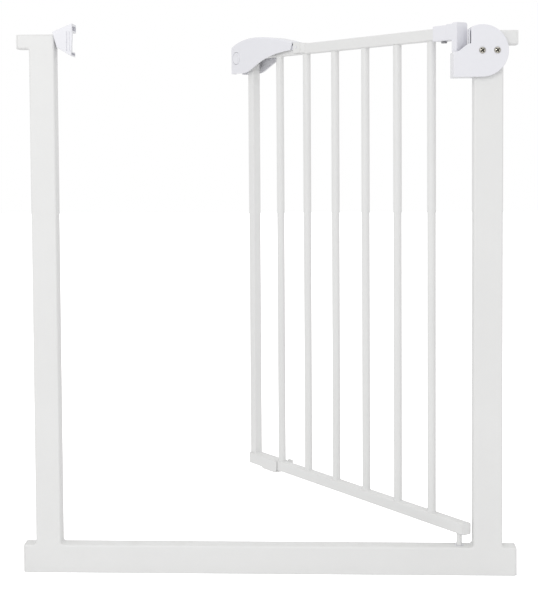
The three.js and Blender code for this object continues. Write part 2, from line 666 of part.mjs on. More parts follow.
function handleBase() {
  const room = BASE_TAIL_ROOM;
  const top = TOP_RAIL.z1 + GAP;
  const railClear = box(-room.u1, -room.u0, -room.half, room.half, top - BEYOND, top);
  const tail = shape([slab(polygon(BASE_TAIL), BASE_TAIL_HALF)], [railClear]);
  const { u0, u1, half } = BASE_STRIP;
  const strip = box(-u1, -u0, -half, half, top, STRIP_TOP);
  const block = BASE_BLOCK;
  const head = box(-block.u1, -DOOR_END - GAP, -block.half, block.half, block.z0, STRIP_TOP);
  const side = BOLT.half + BOLT.play;
  const back = DOOR_END + block.wall;
  const channel = box(-block.u1 - PAST, -back, -side, side, BOLT.z0 - BOLT.play, BOLT.z1 + BOLT.play);
  const cuts = [channel, leverPinHole(), baseScrewHole()];
  return part("handle_base", shape([tail, strip, head], cuts), plastic);
}

function baseScrew() {
  const { u, headR, head, shankR, tip } = BASE_SCREW;
  const seat = STRIP_TOP + GAP;
  const cap = rodZ(headR, seat, seat + head, -u, 0);
  const shank = rodZ(shankR, tip, seat + head / 2, -u, 0, HOLE_SIDES);
  return part("handle_base_screw", shape([cap, shank]), darkSteel);
}

function leverPin() {
  const { r, half } = LEVER_PIN;
  return part("lever_pin", rodY(r, -half, half, -LEVER_PIVOT.u, LEVER_PIVOT.z), darkSteel);
}

// The bolt seen from above has a blunt rounded nose; it is given its height in z.
function latchBolt() {
  const { u0, u1, z0, z1, half, nose } = BOLT;
  const outline = new THREE.Shape();
  outline.moveTo(-u0, -half);
  outline.lineTo(-u0, half);
  outline.lineTo(nose - u1, half);
  outline.quadraticCurveTo(-u1, half / 2, -u1, 0);
  outline.quadraticCurveTo(-u1, -half / 2, nose - u1, -half);
  outline.closePath();
  const body = extruded(outline, z1 - z0, TOWER_SEGMENTS).translate(0, 0, z0);
  return part("latch_bolt", shape([body]), plastic);
}

function boltSpring() {
  const { r, wire, turns } = BOLT_SPRING;
  const start = DOOR_END + BASE_BLOCK.wall + PAST;
  const coil = wireCoil(r, wire, 0, BOLT.u0 - start - PAST, turns);
  coil.rotateY(-Math.PI / 2).translate(-start, 0, (BOLT.z0 + BOLT.z1) / 2);
  return part("bolt_spring", coil, darkSteel);
}

function releaseButton() {
  const { u, z, r, y0, y1 } = BUTTON;
  const cap = rodY(r, y0, y1, -u, z);
  const flange = rodY(BUTTON_FLANGE.r, BUTTON_FLANGE.y0, BUTTON_FLANGE.y1, -u, z);
  return part("release_button", shape([cap, flange]), plastic);
}

// ---- assembly -----------------------------------------------------------------------------
const gate = new THREE.Group();
gate.add(
  bottomRail(),
  upright("left_upright", LATCH_POST, []),
  upright("right_upright", HINGE_POST, housingScrewHoles()),
  topStub(-1),
  topStub(1),
  ...socketPieces(),
  latchCatch(),
  catchScrew(),
  housingShell("hinge_housing_front", -1),
  housingShell("hinge_housing_back", 1),
  ...HOUSING_SCREWS.map(({ name, x }) => housingScrew(`housing_screw_${name}`, x)),
  ...HOUSING_SCREWS.map(({ name, x }) => housingNut(`housing_nut_${name}`, x)),
  closingSpring(),
  lowerBush(),
);

const door = new THREE.Group();
door.position.x = PIVOT_X;
door.rotation.z = -OPEN_ANGLE;
door.add(
  doorTopRail(),
  doorBottomRail(),
  latchStile(),
  ...bars(),
  hingeBracket(),
  bracketScrew(),
  upperPin(),
  pinCollar(),
  lowerPin(),
  doorRailPlug(),
  bottomGuideClip(),
  handleBase(),
  baseScrew(),
  leverPin(),
  handleCover(),
  latchBolt(),
  boltSpring(),
  releaseButton(),
);
gate.add(door);

export default gate;
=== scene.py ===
"""Detailed surfaces, finishes and studio for a pressure-fit child safety gate."""
import json
import math

import bmesh
import bpy
from mathutils import Matrix, Vector
from mathutils.geometry import interpolate_bezier

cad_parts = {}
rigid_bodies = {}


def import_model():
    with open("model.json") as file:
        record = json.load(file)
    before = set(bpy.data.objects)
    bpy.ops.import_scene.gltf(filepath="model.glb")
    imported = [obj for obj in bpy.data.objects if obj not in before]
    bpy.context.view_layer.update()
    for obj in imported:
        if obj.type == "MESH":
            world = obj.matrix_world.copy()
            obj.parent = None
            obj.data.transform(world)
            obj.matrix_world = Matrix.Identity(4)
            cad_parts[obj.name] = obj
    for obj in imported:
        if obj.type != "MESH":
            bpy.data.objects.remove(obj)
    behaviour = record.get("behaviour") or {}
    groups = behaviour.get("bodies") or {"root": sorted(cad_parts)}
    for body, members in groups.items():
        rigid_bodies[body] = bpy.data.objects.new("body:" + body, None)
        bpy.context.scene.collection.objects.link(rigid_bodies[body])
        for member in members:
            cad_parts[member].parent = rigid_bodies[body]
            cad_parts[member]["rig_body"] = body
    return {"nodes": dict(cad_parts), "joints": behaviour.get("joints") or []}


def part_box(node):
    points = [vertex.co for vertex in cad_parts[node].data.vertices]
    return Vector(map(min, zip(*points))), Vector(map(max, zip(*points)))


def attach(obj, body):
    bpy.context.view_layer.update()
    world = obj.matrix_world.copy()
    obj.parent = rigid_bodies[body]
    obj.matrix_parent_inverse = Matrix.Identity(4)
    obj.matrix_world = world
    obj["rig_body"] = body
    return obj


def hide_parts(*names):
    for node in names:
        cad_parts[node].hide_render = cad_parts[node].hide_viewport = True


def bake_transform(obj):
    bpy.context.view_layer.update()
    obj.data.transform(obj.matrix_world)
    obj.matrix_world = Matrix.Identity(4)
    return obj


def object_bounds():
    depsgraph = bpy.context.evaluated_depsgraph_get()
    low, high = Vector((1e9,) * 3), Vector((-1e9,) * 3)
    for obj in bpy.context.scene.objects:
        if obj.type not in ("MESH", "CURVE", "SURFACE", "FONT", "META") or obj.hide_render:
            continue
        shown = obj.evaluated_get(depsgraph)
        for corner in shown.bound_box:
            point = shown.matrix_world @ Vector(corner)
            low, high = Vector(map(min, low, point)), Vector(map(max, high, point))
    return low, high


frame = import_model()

bl_info = {
    "name": "Safety Gate Detailing",
    "version": (1, 0, 0),
    "blender": (4, 5, 0),
    "location": "3D View > Sidebar > Gate",
    "description": "Builds the welded, moulded and plated pieces of a child safety gate round its frame",
    "category": "Object",
}

MM = 0.001
TINY = 0.02 * MM
WELD = 0.001 * MM
CAD_WELD = 0.005 * MM
WIDE = 1.0
QUARTER_TURN = math.pi / 2
FLAT = math.radians(1)
CRISP = math.radians(35)
SHARP = math.radians(38)
FINE_SHARP = math.radians(32)
CAD_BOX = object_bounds()

JOINTS = {joint["name"]: joint for joint in frame["joints"]}
HINGE = Vector(JOINTS["door_swing"]["pos_m"])
LEVER = Vector(JOINTS["handle_lift"]["pos_m"])
ACROSS_DOOR = Vector(JOINTS["handle_lift"]["axis"])
ROW = Matrix.Identity(4)
# Door space: x is 0 on the hinge line and falls towards the latch, y runs across the door, z is up.
DOOR = Matrix.Translation((HINGE.x, HINGE.y, 0)) @ Matrix.Rotation(
    -math.atan2(ACROSS_DOOR.x, ACROSS_DOOR.y), 4, "Z"
)


# ---- what a user may change ---------------------------------------------------------------
LENGTH = {"min": 0, "unit": "LENGTH", "subtype": "DISTANCE"}
COLOUR = {"size": 3, "min": 0, "max": 1, "subtype": "COLOR"}


class GateSizes(bpy.types.PropertyGroup):
    """Rounding, wall and relief sizes of the gate's pieces."""

    tube_round: bpy.props.FloatProperty(
        name="Tube corner", description="Corner radius of the frame tube", default=3 * MM, **LENGTH
    )
    tube_wall: bpy.props.FloatProperty(
        name="Tube wall", description="Wall thickness of the frame tube", default=1.5 * MM, **LENGTH
    )
    weld_fillet: bpy.props.FloatProperty(
        name="Weld fillet", description="Radius of the dressed welds between posts and rail",
        default=3.4 * MM, **LENGTH
    )
    door_round: bpy.props.FloatProperty(
        name="Door tube corner", description="Corner radius of the door's square tube",
        default=1.8 * MM, **LENGTH
    )
    bar_weld: bpy.props.FloatProperty(
        name="Bar weld", description="Width of the weld bead where a bar meets a rail",
        default=0.8 * MM, **LENGTH
    )
    moulding_round: bpy.props.FloatProperty(
        name="Moulding edge", description="Edge radius of the small moulded pieces",
        default=0.35 * MM, **LENGTH
    )
    housing_round: bpy.props.FloatProperty(
        name="Housing edge", description="Edge radius of the hinge housing", default=2.4 * MM, **LENGTH
    )
    cover_round: bpy.props.FloatProperty(
        name="Handle edge", description="Edge radius along the top of the handle cover",
        default=3.2 * MM, **LENGTH
    )
    cover_wall: bpy.props.FloatProperty(
        name="Handle wall", description="Wall thickness of the handle cover", default=2.1 * MM, **LENGTH
    )


class GateFinishes(bpy.types.PropertyGroup):
    """Colours and gloss of the gate's finishes."""

    paint: bpy.props.FloatVectorProperty(
        name="Powder coat", description="Colour of the painted steel",
        default=(0.79, 0.79, 0.785), **COLOUR
    )
    plastic: bpy.props.FloatVectorProperty(
        name="Moulded plastic", description="Colour of the white plastic",
        default=(0.75, 0.745, 0.782), **COLOUR
    )
    zinc: bpy.props.FloatVectorProperty(
        name="Zinc plate", description="Colour of the plated nuts, pins and springs",
        default=(0.32, 0.32, 0.33), **COLOUR
    )
    nickel: bpy.props.FloatVectorProperty(
        name="Bright screw", description="Colour of the bright housing screws",
        default=(0.66, 0.63, 0.55), **COLOUR
    )
    # Painted shade: a dark colour for the plate in the depth of the screws' cross recess, standing in
    # for the shade there.
    painted_recess_shade: bpy.props.FloatVectorProperty(
        name="Screw recess", description="Colour in the depth of the screws' cross recess",
        default=(0.05, 0.048, 0.042), **COLOUR
    )
    # Dust and painted shade: this colour darkens faces that look up, for settled dust and as painted
    # shade on tops.
    dust_and_shade: bpy.props.FloatVectorProperty(
        name="Dust", description="Colour of the dust that settles on upward faces",
        default=(0.58, 0.56, 0.52), **COLOUR
    )
    floor: bpy.props.FloatVectorProperty(
        name="Floor", description="Colour of the studio floor", default=(0.9, 0.9, 0.9), **COLOUR
    )


class GateStudio(bpy.types.PropertyGroup):
    """Camera place and light strengths."""

    eye: bpy.props.FloatVectorProperty(
        name="Camera place", description="Where the camera stands", default=(0.0709, -1.7163, 0.6062),
        size=3, unit="LENGTH", subtype="XYZ",
    )
    turn: bpy.props.FloatVectorProperty(
        name="Camera angles", description="Pitch down, roll and turn to the left of the camera",
        default=(math.radians(2.538), math.radians(-0.353), math.radians(2.25)),
        size=3, unit="ROTATION", subtype="EULER",
    )
    lens: bpy.props.FloatProperty(
        name="Lens", description="Focal length in millimetres on a 36 mm sensor", default=73.71, min=1,
    )
    rise: bpy.props.FloatProperty(
        name="Vertical shift", description="Vertical shift of the lens", default=-0.17,
    )
    key: bpy.props.FloatProperty(
        name="Key light", description="Power of the front left light in watts", default=20, min=0,
    )
    fill: bpy.props.FloatProperty(
        name="Fill light", description="Power of the light from above in watts", default=3.5, min=0,
    )
    ambient: bpy.props.FloatProperty(
        name="Ambient", description="Strength of the room light", default=0.85, min=0,
    )


# ---- mesh helpers -------------------------------------------------------------------------
def node_points(node, space=ROW):
    """A CAD node's points in a space such as the door's."""
    back = space.inverted()
    return [back @ vert.co for vert in frame["nodes"][node].data.vertices]


def node_box(node, space=ROW):
    """Lowest and highest corner of a CAD node in a space such as the door's."""
    points = node_points(node, space)
    low = Vector([min(point[axis] for point in points) for axis in range(3)])
    high = Vector([max(point[axis] for point in points) for axis in range(3)])
    return low, high


def near(a, b):
    return abs(a - b) < TINY


def pick_edges(bm, test):
    """Edges whose two end points pass a test."""
    return [edge for edge in bm.edges if test(*(vert.co for vert in edge.verts))]


def round_edges(bm, edges, radius, segments=4):
    bmesh.ops.bevel(
        bm, geom=edges, offset=radius, offset_type="OFFSET", segments=segments, profile=0.5,
        affect="EDGES", clamp_overlap=True, material=-1,
    )


def crisp_edges(bm, least_angle):
    """Edges where two faces meet at more than an angle."""
    return [
        edge for edge in bm.edges
        if edge.is_manifold and edge.calc_face_angle(0) > least_angle
    ]


def prism(outline, y0, y1):
    """A closed block from an outline in x and z, between y0 and y1."""
    bm = bmesh.new()
    face = bm.faces.new([bm.verts.new((x, y0, z)) for x, z in outline])
    grown = bmesh.ops.extrude_face_region(bm, geom=[face])["geom"]
    moved = [item for item in grown if isinstance(item, bmesh.types.BMVert)]
    bmesh.ops.translate(bm, verts=moved, vec=(0, y1 - y0, 0))
    bmesh.ops.recalc_face_normals(bm, faces=bm.faces[:])
    return bm


def block(low, high, radius=0, segments=3):
    """A box between two corners, with every edge rounded."""
    bm = bmesh.new()
    low, high = Vector(low), Vector(high)
    place = Matrix.Translation((low + high) / 2) @ Matrix.Diagonal((*(high - low), 1))
    bmesh.ops.create_cube(bm, size=1, matrix=place)
    if radius:
        round_edges(bm, bm.edges[:], radius, segments)
    return bm


def rod(radius, start, end, sides=40):
    """A plain cylinder between two points."""
    bm = bmesh.new()
    start, end = Vector(start), Vector(end)
    aim = (end - start).to_track_quat("Z", "Y").to_matrix().to_4x4()
    bmesh.ops.create_cone(
        bm, cap_ends=True, segments=sides, radius1=radius, radius2=radius,
        depth=(end - start).length, matrix=Matrix.Translation((start + end) / 2) @ aim,
    )
    return bm


def turned(profile, steps=40):
    """A solid of revolution about z, from (radius, height) points that start and end on the axis."""
    bm = bmesh.new()
    line = [bm.verts.new((radius, 0, height)) for radius, height in profile]
    edges = [bm.edges.new(pair) for pair in zip(line, line[1:])]
    bmesh.ops.spin(
        bm, geom=line + edges, cent=(0, 0, 0), axis=(0, 0, 1), angle=math.tau, steps=steps,
        use_merge=True,
    )
    bmesh.ops.remove_doubles(bm, verts=bm.verts[:], dist=WELD)
    bmesh.ops.recalc_face_normals(bm, faces=bm.faces[:])
    return bm


def arc(cx, cz, radius, start, end, steps):
    """Points along a circular arc in x and z, both ends included."""
    angles = [start + (end - start) * i / steps for i in range(steps + 1)]
    return [(cx + radius * math.cos(a), cz + radius * math.sin(a)) for a in angles]


def bezier(points, steps=16):
    """Points along a cubic curve given as start, two handles and end."""
    start, out, back, end = (Vector((x, z, 0)) for x, z in points)
    return [(p.x, p.y) for p in interpolate_bezier(start, out, back, end, steps)]


def height_at(curve, x):
    """Height of a curve at x, between its points."""
    points = sorted(curve)
    for (x0, z0), (x1, z1) in zip(points, points[1:]):
        if x <= x1:
            return z0 + (z1 - z0) * max(x - x0, 0) / max(x1 - x0, TINY)
    return points[-1][1]


def smooth(value, low, high):
    t = min(max((value - low) / (high - low), 0), 1)
    return t * t * (3 - 2 * t)


def held_mesh(name, bm):
    """A linked object that holds the bmesh, which is freed."""
    mesh = bpy.data.meshes.new(name)
    bm.to_mesh(mesh)
    bm.free()
    piece = bpy.data.objects.new(name, mesh)
    bpy.context.scene.collection.objects.link(piece)
    return piece


def combined(bm, others, operation):
    """The bmesh joined with, or cut by, other closed bmeshes."""
    base = held_mesh("boolean_base", bm)
    tools = [held_mesh("boolean_tool", other) for other in others]
    for tool in tools:
        step = base.modifiers.new("boolean", "BOOLEAN")
        step.operation = operation
        step.solver = "EXACT"
        step.object = tool
    solved = base.evaluated_get(bpy.context.evaluated_depsgraph_get())
    result = bmesh.new()
    result.from_mesh(solved.to_mesh())
    solved.to_mesh_clear()
    for used in [base, *tools]:
        mesh = used.data
        bpy.data.objects.remove(used)
        bpy.data.meshes.remove(mesh)
    bmesh.ops.remove_doubles(result, verts=result.verts[:], dist=WELD)
    return result


def settle(name, bm, body, finish, stands_for=(), place=ROW, sharp=SHARP):
    """Makes the bmesh a piece at the origin that rides on a body and wears a finish."""
    bm.transform(place)
    bmesh.ops.recalc_face_normals(bm, faces=bm.faces[:])
    piece = held_mesh(name, bm)
    piece.data.shade_smooth()
    piece.data.set_sharp_from_angle(angle=sharp)
    piece.data.materials.append(finish)
    shading = piece.modifiers.new("even_shading", "WEIGHTED_NORMAL")
    shading.keep_sharp = True
    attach(piece, body)
    if stands_for:
        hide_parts(*stands_for)
    return piece


def merged_copy(node, place):
    """A closed copy of a CAD node in a space such as the door's, with its flat faces whole."""
    bm = bmesh.new()
    bm.from_mesh(frame["nodes"][node].data)
    bm.transform(place.inverted())
    bmesh.ops.remove_doubles(bm, verts=bm.verts[:], dist=CAD_WELD)
    bmesh.ops.dissolve_limit(
        bm, angle_limit=FLAT, verts=bm.verts[:], edges=bm.edges[:], use_dissolve_boundaries=False
    )
    return bm


def softened(name, node, finish, radius, place=ROW, rounder=(), segments=2, cuts=(), added=()):
    """A copy of a CAD node, cut or added to, with its crisp edges rounded, in place of the node."""
    bm = merged_copy(node, place)
    if added:
        bm = combined(bm, added, "UNION")
    if cuts:
        bm = combined(bm, cuts, "DIFFERENCE")
    for test, size in rounder:
        round_edges(bm, pick_edges(bm, test), size, 4)
    round_edges(bm, crisp_edges(bm, CRISP), radius, segments)
    return settle(name, bm, frame["nodes"][node]["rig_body"], finish, [node], place)


# ---- shared surface effects ---------------------------------------------------------------
def started_group(name, amounts, results):
    """A new shader group with a vector and amounts for inputs, and its own input and output nodes."""
    group = bpy.data.node_groups.new(name, "ShaderNodeTree")
    group.interface.new_socket(name="Vector", in_out="INPUT", socket_type="NodeSocketVector")
    for label, default in amounts.items():
        made = group.interface.new_socket(name=label, in_out="INPUT", socket_type="NodeSocketFloat")
        made.default_value = default
    for label in results:
        group.interface.new_socket(name=label, in_out="OUTPUT", socket_type="NodeSocketFloat")
    return group, group.nodes.new("NodeGroupInput"), group.nodes.new("NodeGroupOutput")


def supply(tree, target, amount):
    """Sets a socket to a value, or links another node's output to it."""
    if isinstance(amount, bpy.types.NodeSocket):
        tree.links.new(amount, target)
    else:
        target.default_value = amount


def feed(tree, node, **amounts):
    """Supplies a node's inputs by name, with an underscore for each space."""
    for label, amount in amounts.items():
        supply(tree, node.inputs[label.replace("_", " ")], amount)


def noise(tree, vector, scale, detail=3, roughness=0.5):
    node = tree.nodes.new("ShaderNodeTexNoise")
    feed(tree, node, Vector=vector, Scale=scale, Detail=detail, Roughness=roughness)
    return node.outputs["Fac"]


def spread(tree, value, band, to_low=0, to_high=1):
    """A value inside a band moved to another range, and held inside it."""
    node = tree.nodes.new("ShaderNodeMapRange")
    feed(tree, node, Value=value, From_Min=band[0], From_Max=band[1], To_Min=to_low, To_Max=to_high)
    return node.outputs["Result"]


def math_node(tree, operation, a, b):
    node = tree.nodes.new("ShaderNodeMath")
    node.operation = operation
    supply(tree, node.inputs[0], a)
    supply(tree, node.inputs[1], b)
    return node.outputs[0]


# Bands of noise or slope that turn into a mask from 0 to 1, and scales of the patterns.
GLOSS_BAND = (0.3, 0.7)
MOTTLE_BAND = (0.35, 0.75)
TARNISH_BAND = (0.45, 0.8)
DUST_AND_SHADE_BAND = (0.4, 0.72)
UPWARD_BAND = (0.55, 0.98)
COARSE_PEEL = {"scale_share": 0.22, "height": 1.6}
DUST_AND_SHADE_SCALE = 45
TARNISH_SCALE = 140
TOOL_LINE_STRETCH = (1, 1, 0.12)
SKIN = {"Peel Scale": 500, "Mottle Scale": 9, "Least Roughness": 0.3, "Most Roughness": 0.45}
PLATING = {"Line Scale": 900, "Least Roughness": 0.2, "Most Roughness": 0.4}


def gloss_between(group, start, pattern):
    """Roughness that follows a pattern between the group's least and most."""
    return spread(group, pattern, GLOSS_BAND, start.outputs["Least Roughness"],
                  start.outputs["Most Roughness"])


def skin_group():
    """Fine relief, uneven gloss and slow mottling of a coated or moulded surface."""
    name = "skin"
    if name in bpy.data.node_groups:
        return bpy.data.node_groups[name]
    group, start, end = started_group(name, SKIN, ("Height", "Roughness", "Mottle"))
    vector, peel = start.outputs["Vector"], start.outputs["Peel Scale"]
    fine = noise(group, vector, peel)
    coarse = noise(group, vector, math_node(group, "MULTIPLY", peel, COARSE_PEEL["scale_share"]), 2)
    swell = math_node(group, "MULTIPLY", coarse, COARSE_PEEL["height"])
    mottle = noise(group, vector, start.outputs["Mottle Scale"], 4, 0.6)
    feed(group, end, Height=math_node(group, "ADD", fine, swell),
         Roughness=gloss_between(group, start, mottle), Mottle=spread(group, mottle, MOTTLE_BAND))
    return group


def dust_and_shade_group():
    """Dust and painted shade on faces that look up, thicker in patches."""
    name = "settled_dust"
    if name in bpy.data.node_groups:
        return bpy.data.node_groups[name]
    group, start, end = started_group(name, {"Amount": 0.2}, ("Mask",))
    split = group.nodes.new("ShaderNodeSeparateXYZ")
    feed(group, split, Vector=group.nodes.new("ShaderNodeNewGeometry").outputs["Normal"])
    upward = spread(group, split.outputs["Z"], UPWARD_BAND)
    patches = spread(group, noise(group, start.outputs["Vector"], DUST_AND_SHADE_SCALE, 5, 0.6), DUST_AND_SHADE_BAND)
    upward_patches = math_node(group, "MULTIPLY", upward, patches)
    feed(group, end, Mask=math_node(group, "MULTIPLY", upward_patches, start.outputs["Amount"]))
    return group


def plating_group():
    """Fine tool lines and dull patches of a plated metal surface."""
    name = "plating"
    if name in bpy.data.node_groups:
        return bpy.data.node_groups[name]
    group, start, end = started_group(name, PLATING, ("Height", "Roughness", "Tarnish"))
    vector = start.outputs["Vector"]
    stretch = group.nodes.new("ShaderNodeMapping")
    feed(group, stretch, Vector=vector, Scale=TOOL_LINE_STRETCH)
    patches = noise(group, vector, TARNISH_SCALE, 4, 0.6)
    feed(group, end, Height=noise(group, stretch.outputs["Vector"], start.outputs["Line Scale"], 2),
         Roughness=gloss_between(group, start, patches), Tarnish=spread(group, patches, TARNISH_BAND))
    return group


# ---- finishes -----------------------------------------------------------------------------
def started_material(name):
    """A new node material, its shader and the piece's own coordinates."""
    material = bpy.data.materials.new(name)
    material.use_nodes = True
    tree = material.node_tree
    shader = tree.nodes["Principled BSDF"]
    place = tree.nodes.new("ShaderNodeTexCoord").outputs["Object"]
    return material, tree, shader, place


def placed_group(tree, group, vector, **amounts):
    node = tree.nodes.new("ShaderNodeGroup")
    node.node_tree = group
    tree.links.new(vector, node.inputs["Vector"])
    for label, amount in amounts.items():
        node.inputs[label.replace("_", " ").title()].default_value = amount
    return node


def mixed(tree, factor, first, second):
    """A colour between two colours; each is a colour or another node's output."""
    node = tree.nodes.new("ShaderNodeMix")
    node.data_type = "RGBA"
    tree.links.new(factor, node.inputs["Factor"])
    for label, colour in (("A", first), ("B", second)):
        target = next(s for s in node.inputs if s.name == label and s.type == "RGBA")
        supply(tree, target, colour if isinstance(colour, bpy.types.NodeSocket) else (*colour, 1))
    return next(s for s in node.outputs if s.type == "RGBA")


def raised(tree, shader, height, distance):
    """Fine relief of a height pattern, at full strength."""
    bump = tree.nodes.new("ShaderNodeBump")
    feed(tree, bump, Distance=distance, Strength=1, Height=height)
    feed(tree, shader, Normal=bump.outputs["Normal"])


def shaded(colour, factor):
    return tuple(channel * factor for channel in colour)


def coated_finish(name, colour, deeper, relief, dust_and_shade_amount, skin):
    """A coloured coat with peel, mottling and a little dust and painted shade on upward faces."""
    if name in bpy.data.materials:
        return bpy.data.materials[name]
    finishes = bpy.context.scene.gate_finishes
    material, tree, shader, place = started_material(name)
    surface = placed_group(tree, skin_group(), place, **skin)
    # Dust and painted shade: faces that look up are darkened towards the dust colour.
    dust_and_shade = placed_group(tree, dust_and_shade_group(), place, amount=dust_and_shade_amount)
    clean = mixed(tree, surface.outputs["Mottle"], tuple(colour), shaded(colour, deeper))
    dusted_and_shaded = mixed(tree, dust_and_shade.outputs["Mask"], clean, tuple(finishes.dust_and_shade))
    feed(tree, shader, Base_Color=dusted_and_shaded, Roughness=surface.outputs["Roughness"])
    raised(tree, shader, surface.outputs["Height"], relief)
    material.diffuse_color = (*colour, 1)
    return material


def powder_coat():
    colour = bpy.context.scene.gate_finishes.paint
    skin = {"peel_scale": 650, "mottle_scale": 7, "least_roughness": 0.34, "most_roughness": 0.46}
    return coated_finish("powder_coat", colour, 0.972, 0.05 * MM, 0.16, skin)


def white_plastic():
    colour = bpy.context.scene.gate_finishes.plastic
    skin = {"peel_scale": 1500, "mottle_scale": 16, "least_roughness": 0.28, "most_roughness": 0.38}
    return coated_finish("white_plastic", colour, 0.985, 0.02 * MM, 0.4, skin)


def pale_plastic():
    """Plastic tinted to match the powder coat."""
    colour = bpy.context.scene.gate_finishes.paint
    skin = {"peel_scale": 1500, "mottle_scale": 16, "least_roughness": 0.34, "most_roughness": 0.44}
    return coated_finish("pale_plastic", colour, 0.985, 0.02 * MM, 0.1, skin)


def plated_finish(name, colour, tarnish, relief, plating):
    """Bare plated metal with tool lines and dull patches."""
    if name in bpy.data.materials:
        return bpy.data.materials[name]
    material, tree, shader, place = started_material(name)
    surface = placed_group(tree, plating_group(), place, **plating)
    tint = mixed(tree, surface.outputs["Tarnish"], tuple(colour), shaded(colour, tarnish))
    feed(tree, shader, Base_Color=tint, Roughness=surface.outputs["Roughness"], Metallic=1)
    raised(tree, shader, surface.outputs["Height"], relief)
    material.diffuse_color = (*colour, 1)
    return material


def zinc_plate():
    colour = bpy.context.scene.gate_finishes.zinc
    plating = {"line_scale": 700, "least_roughness": 0.3, "most_roughness": 0.5}
    return plated_finish("zinc_plate", colour, 0.7, 0.03 * MM, plating)


def blackened_steel():
    """Dark metal that paints shade into the depth of a recess."""
    plating = {"line_scale": 900, "least_roughness": 0.5, "most_roughness": 0.7}
    colour = bpy.context.scene.gate_finishes.painted_recess_shade
    return plated_finish("blackened_steel", colour, 0.7, 0.02 * MM, plating)


def bright_nickel():
    colour = bpy.context.scene.gate_finishes.nickel
    plating = {"line_scale": 1100, "least_roughness": 0.08, "most_roughness": 0.2}
    return plated_finish("bright_nickel", colour, 0.82, 0.01 * MM, plating)


# ---- the welded frame ---------------------------------------------------------------------
PLUG_GAP = 0.22 * MM
PLUG_POCKET = 42 * MM
BUSH_CLEARANCE = 0.2 * MM
FRAME_NODES = ["bottom_rail", "left_upright", "right_upright", "top_stub_left", "top_stub_right"]
CORNERS = ("bottom_left", "bottom_right", "top_left", "top_right")


def hollow_end(bm, face, wall, depth):
    """Opens a tube's end: a rim of the wall's width round a pocket."""
    inward = -face.normal.copy()
    bmesh.ops.inset_individual(bm, faces=[face], thickness=wall, use_even_offset=True)
    pushed = bmesh.ops.extrude_discrete_faces(bm, faces=[face])["faces"][0]
    bmesh.ops.translate(bm, verts=pushed.verts[:], vec=inward * depth)


def runs_across(a, b):
    """True for two points of an edge that runs straight across, along y."""
    return near(a.x, b.x) and near(a.z, b.z)


class GATE_OT_welded_frame(bpy.types.Operator):
    """Build the one-piece welded frame: bottom rail, two posts and two top stubs"""

    bl_idname = "gate.welded_frame"
    bl_label = "Welded frame"

    def execute(self, context):
        sizes = context.scene.gate_sizes
        rail_low, rail_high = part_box("bottom_rail")
        left_low, left_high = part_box("left_upright")
        right_low, right_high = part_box("right_upright")
        stub_low, stub_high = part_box("top_stub_left")
        deck, under, top = rail_high.z, stub_low.z, stub_high.z
        rail_low.x, rail_high.x = rail_low.x - PLUG_GAP, rail_high.x + PLUG_GAP
        outline = [
            (rail_low.x, rail_low.z), (rail_high.x, rail_low.z), (rail_high.x, deck),
            (right_high.x, deck), (right_high.x, under), (rail_high.x, under), (rail_high.x, top),
            (right_low.x, top), (right_low.x, deck), (left_high.x, deck), (left_high.x, top),
            (rail_low.x, top), (rail_low.x, under), (left_low.x, under), (left_low.x, deck),
            (rail_low.x, deck),
        ]
        welds = [(x, deck) for x in (left_low.x, left_high.x, right_low.x, right_high.x)]
        welds += [(left_low.x, under), (right_high.x, under)]
        bm = prism(outline, rail_low.y, rail_high.y)
        seams = pick_edges(bm, lambda a, b: runs_across(a, b) and any(
            near(a.x, x) and near(a.z, z) for x, z in welds))
        round_edges(bm, seams, sizes.weld_fillet, 5)
        tube_edges = pick_edges(bm, lambda a, b: near(a.y, b.y) and not (
            near(abs(a.x), rail_high.x) and near(abs(b.x), rail_high.x)))
        round_edges(bm, tube_edges, sizes.tube_round, 4)
        bush_low, bush_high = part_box("lower_pivot_bush")
        bush_radius = (bush_high.x - bush_low.x) / 2 + BUSH_CLEARANCE
        bush_hole = rod(bush_radius, (HINGE.x, HINGE.y, bush_low.z - MM),
                        (HINGE.x, HINGE.y, bush_high.z + MM))
        bm = combined(bm, [bush_hole], "DIFFERENCE")
        ends = [face for face in bm.faces
                if abs(face.normal.x) > 0.99 and near(abs(face.calc_center_median().x), rail_high.x)]
        for face in ends:
            hollow_end(bm, face, sizes.tube_wall, PLUG_POCKET)
        settle("welded_frame", bm, "frame", powder_coat(), FRAME_NODES)
        return {"FINISHED"}


class GATE_OT_end_plugs(bpy.types.Operator):
    """Build the four plastic plugs that close the frame's tube ends and guide the wall spindles"""

    bl_idname = "gate.end_plugs"
    bl_label = "End plugs"

    def execute(self, context):
        radius = context.scene.gate_sizes.moulding_round
        for corner in CORNERS:
            softened(f"tube_plug_{corner}", f"end_plug_{corner}", pale_plastic(),
                     radius)
        return {"FINISHED"}


# ---- the door -----------------------------------------------------------------------------
BARS = 6
# The weld bead's waist and its far end, as shares of its width.
BEAD_WAIST = {"out": 0.4, "along": 0.5}
BEAD_REACH = 1.8


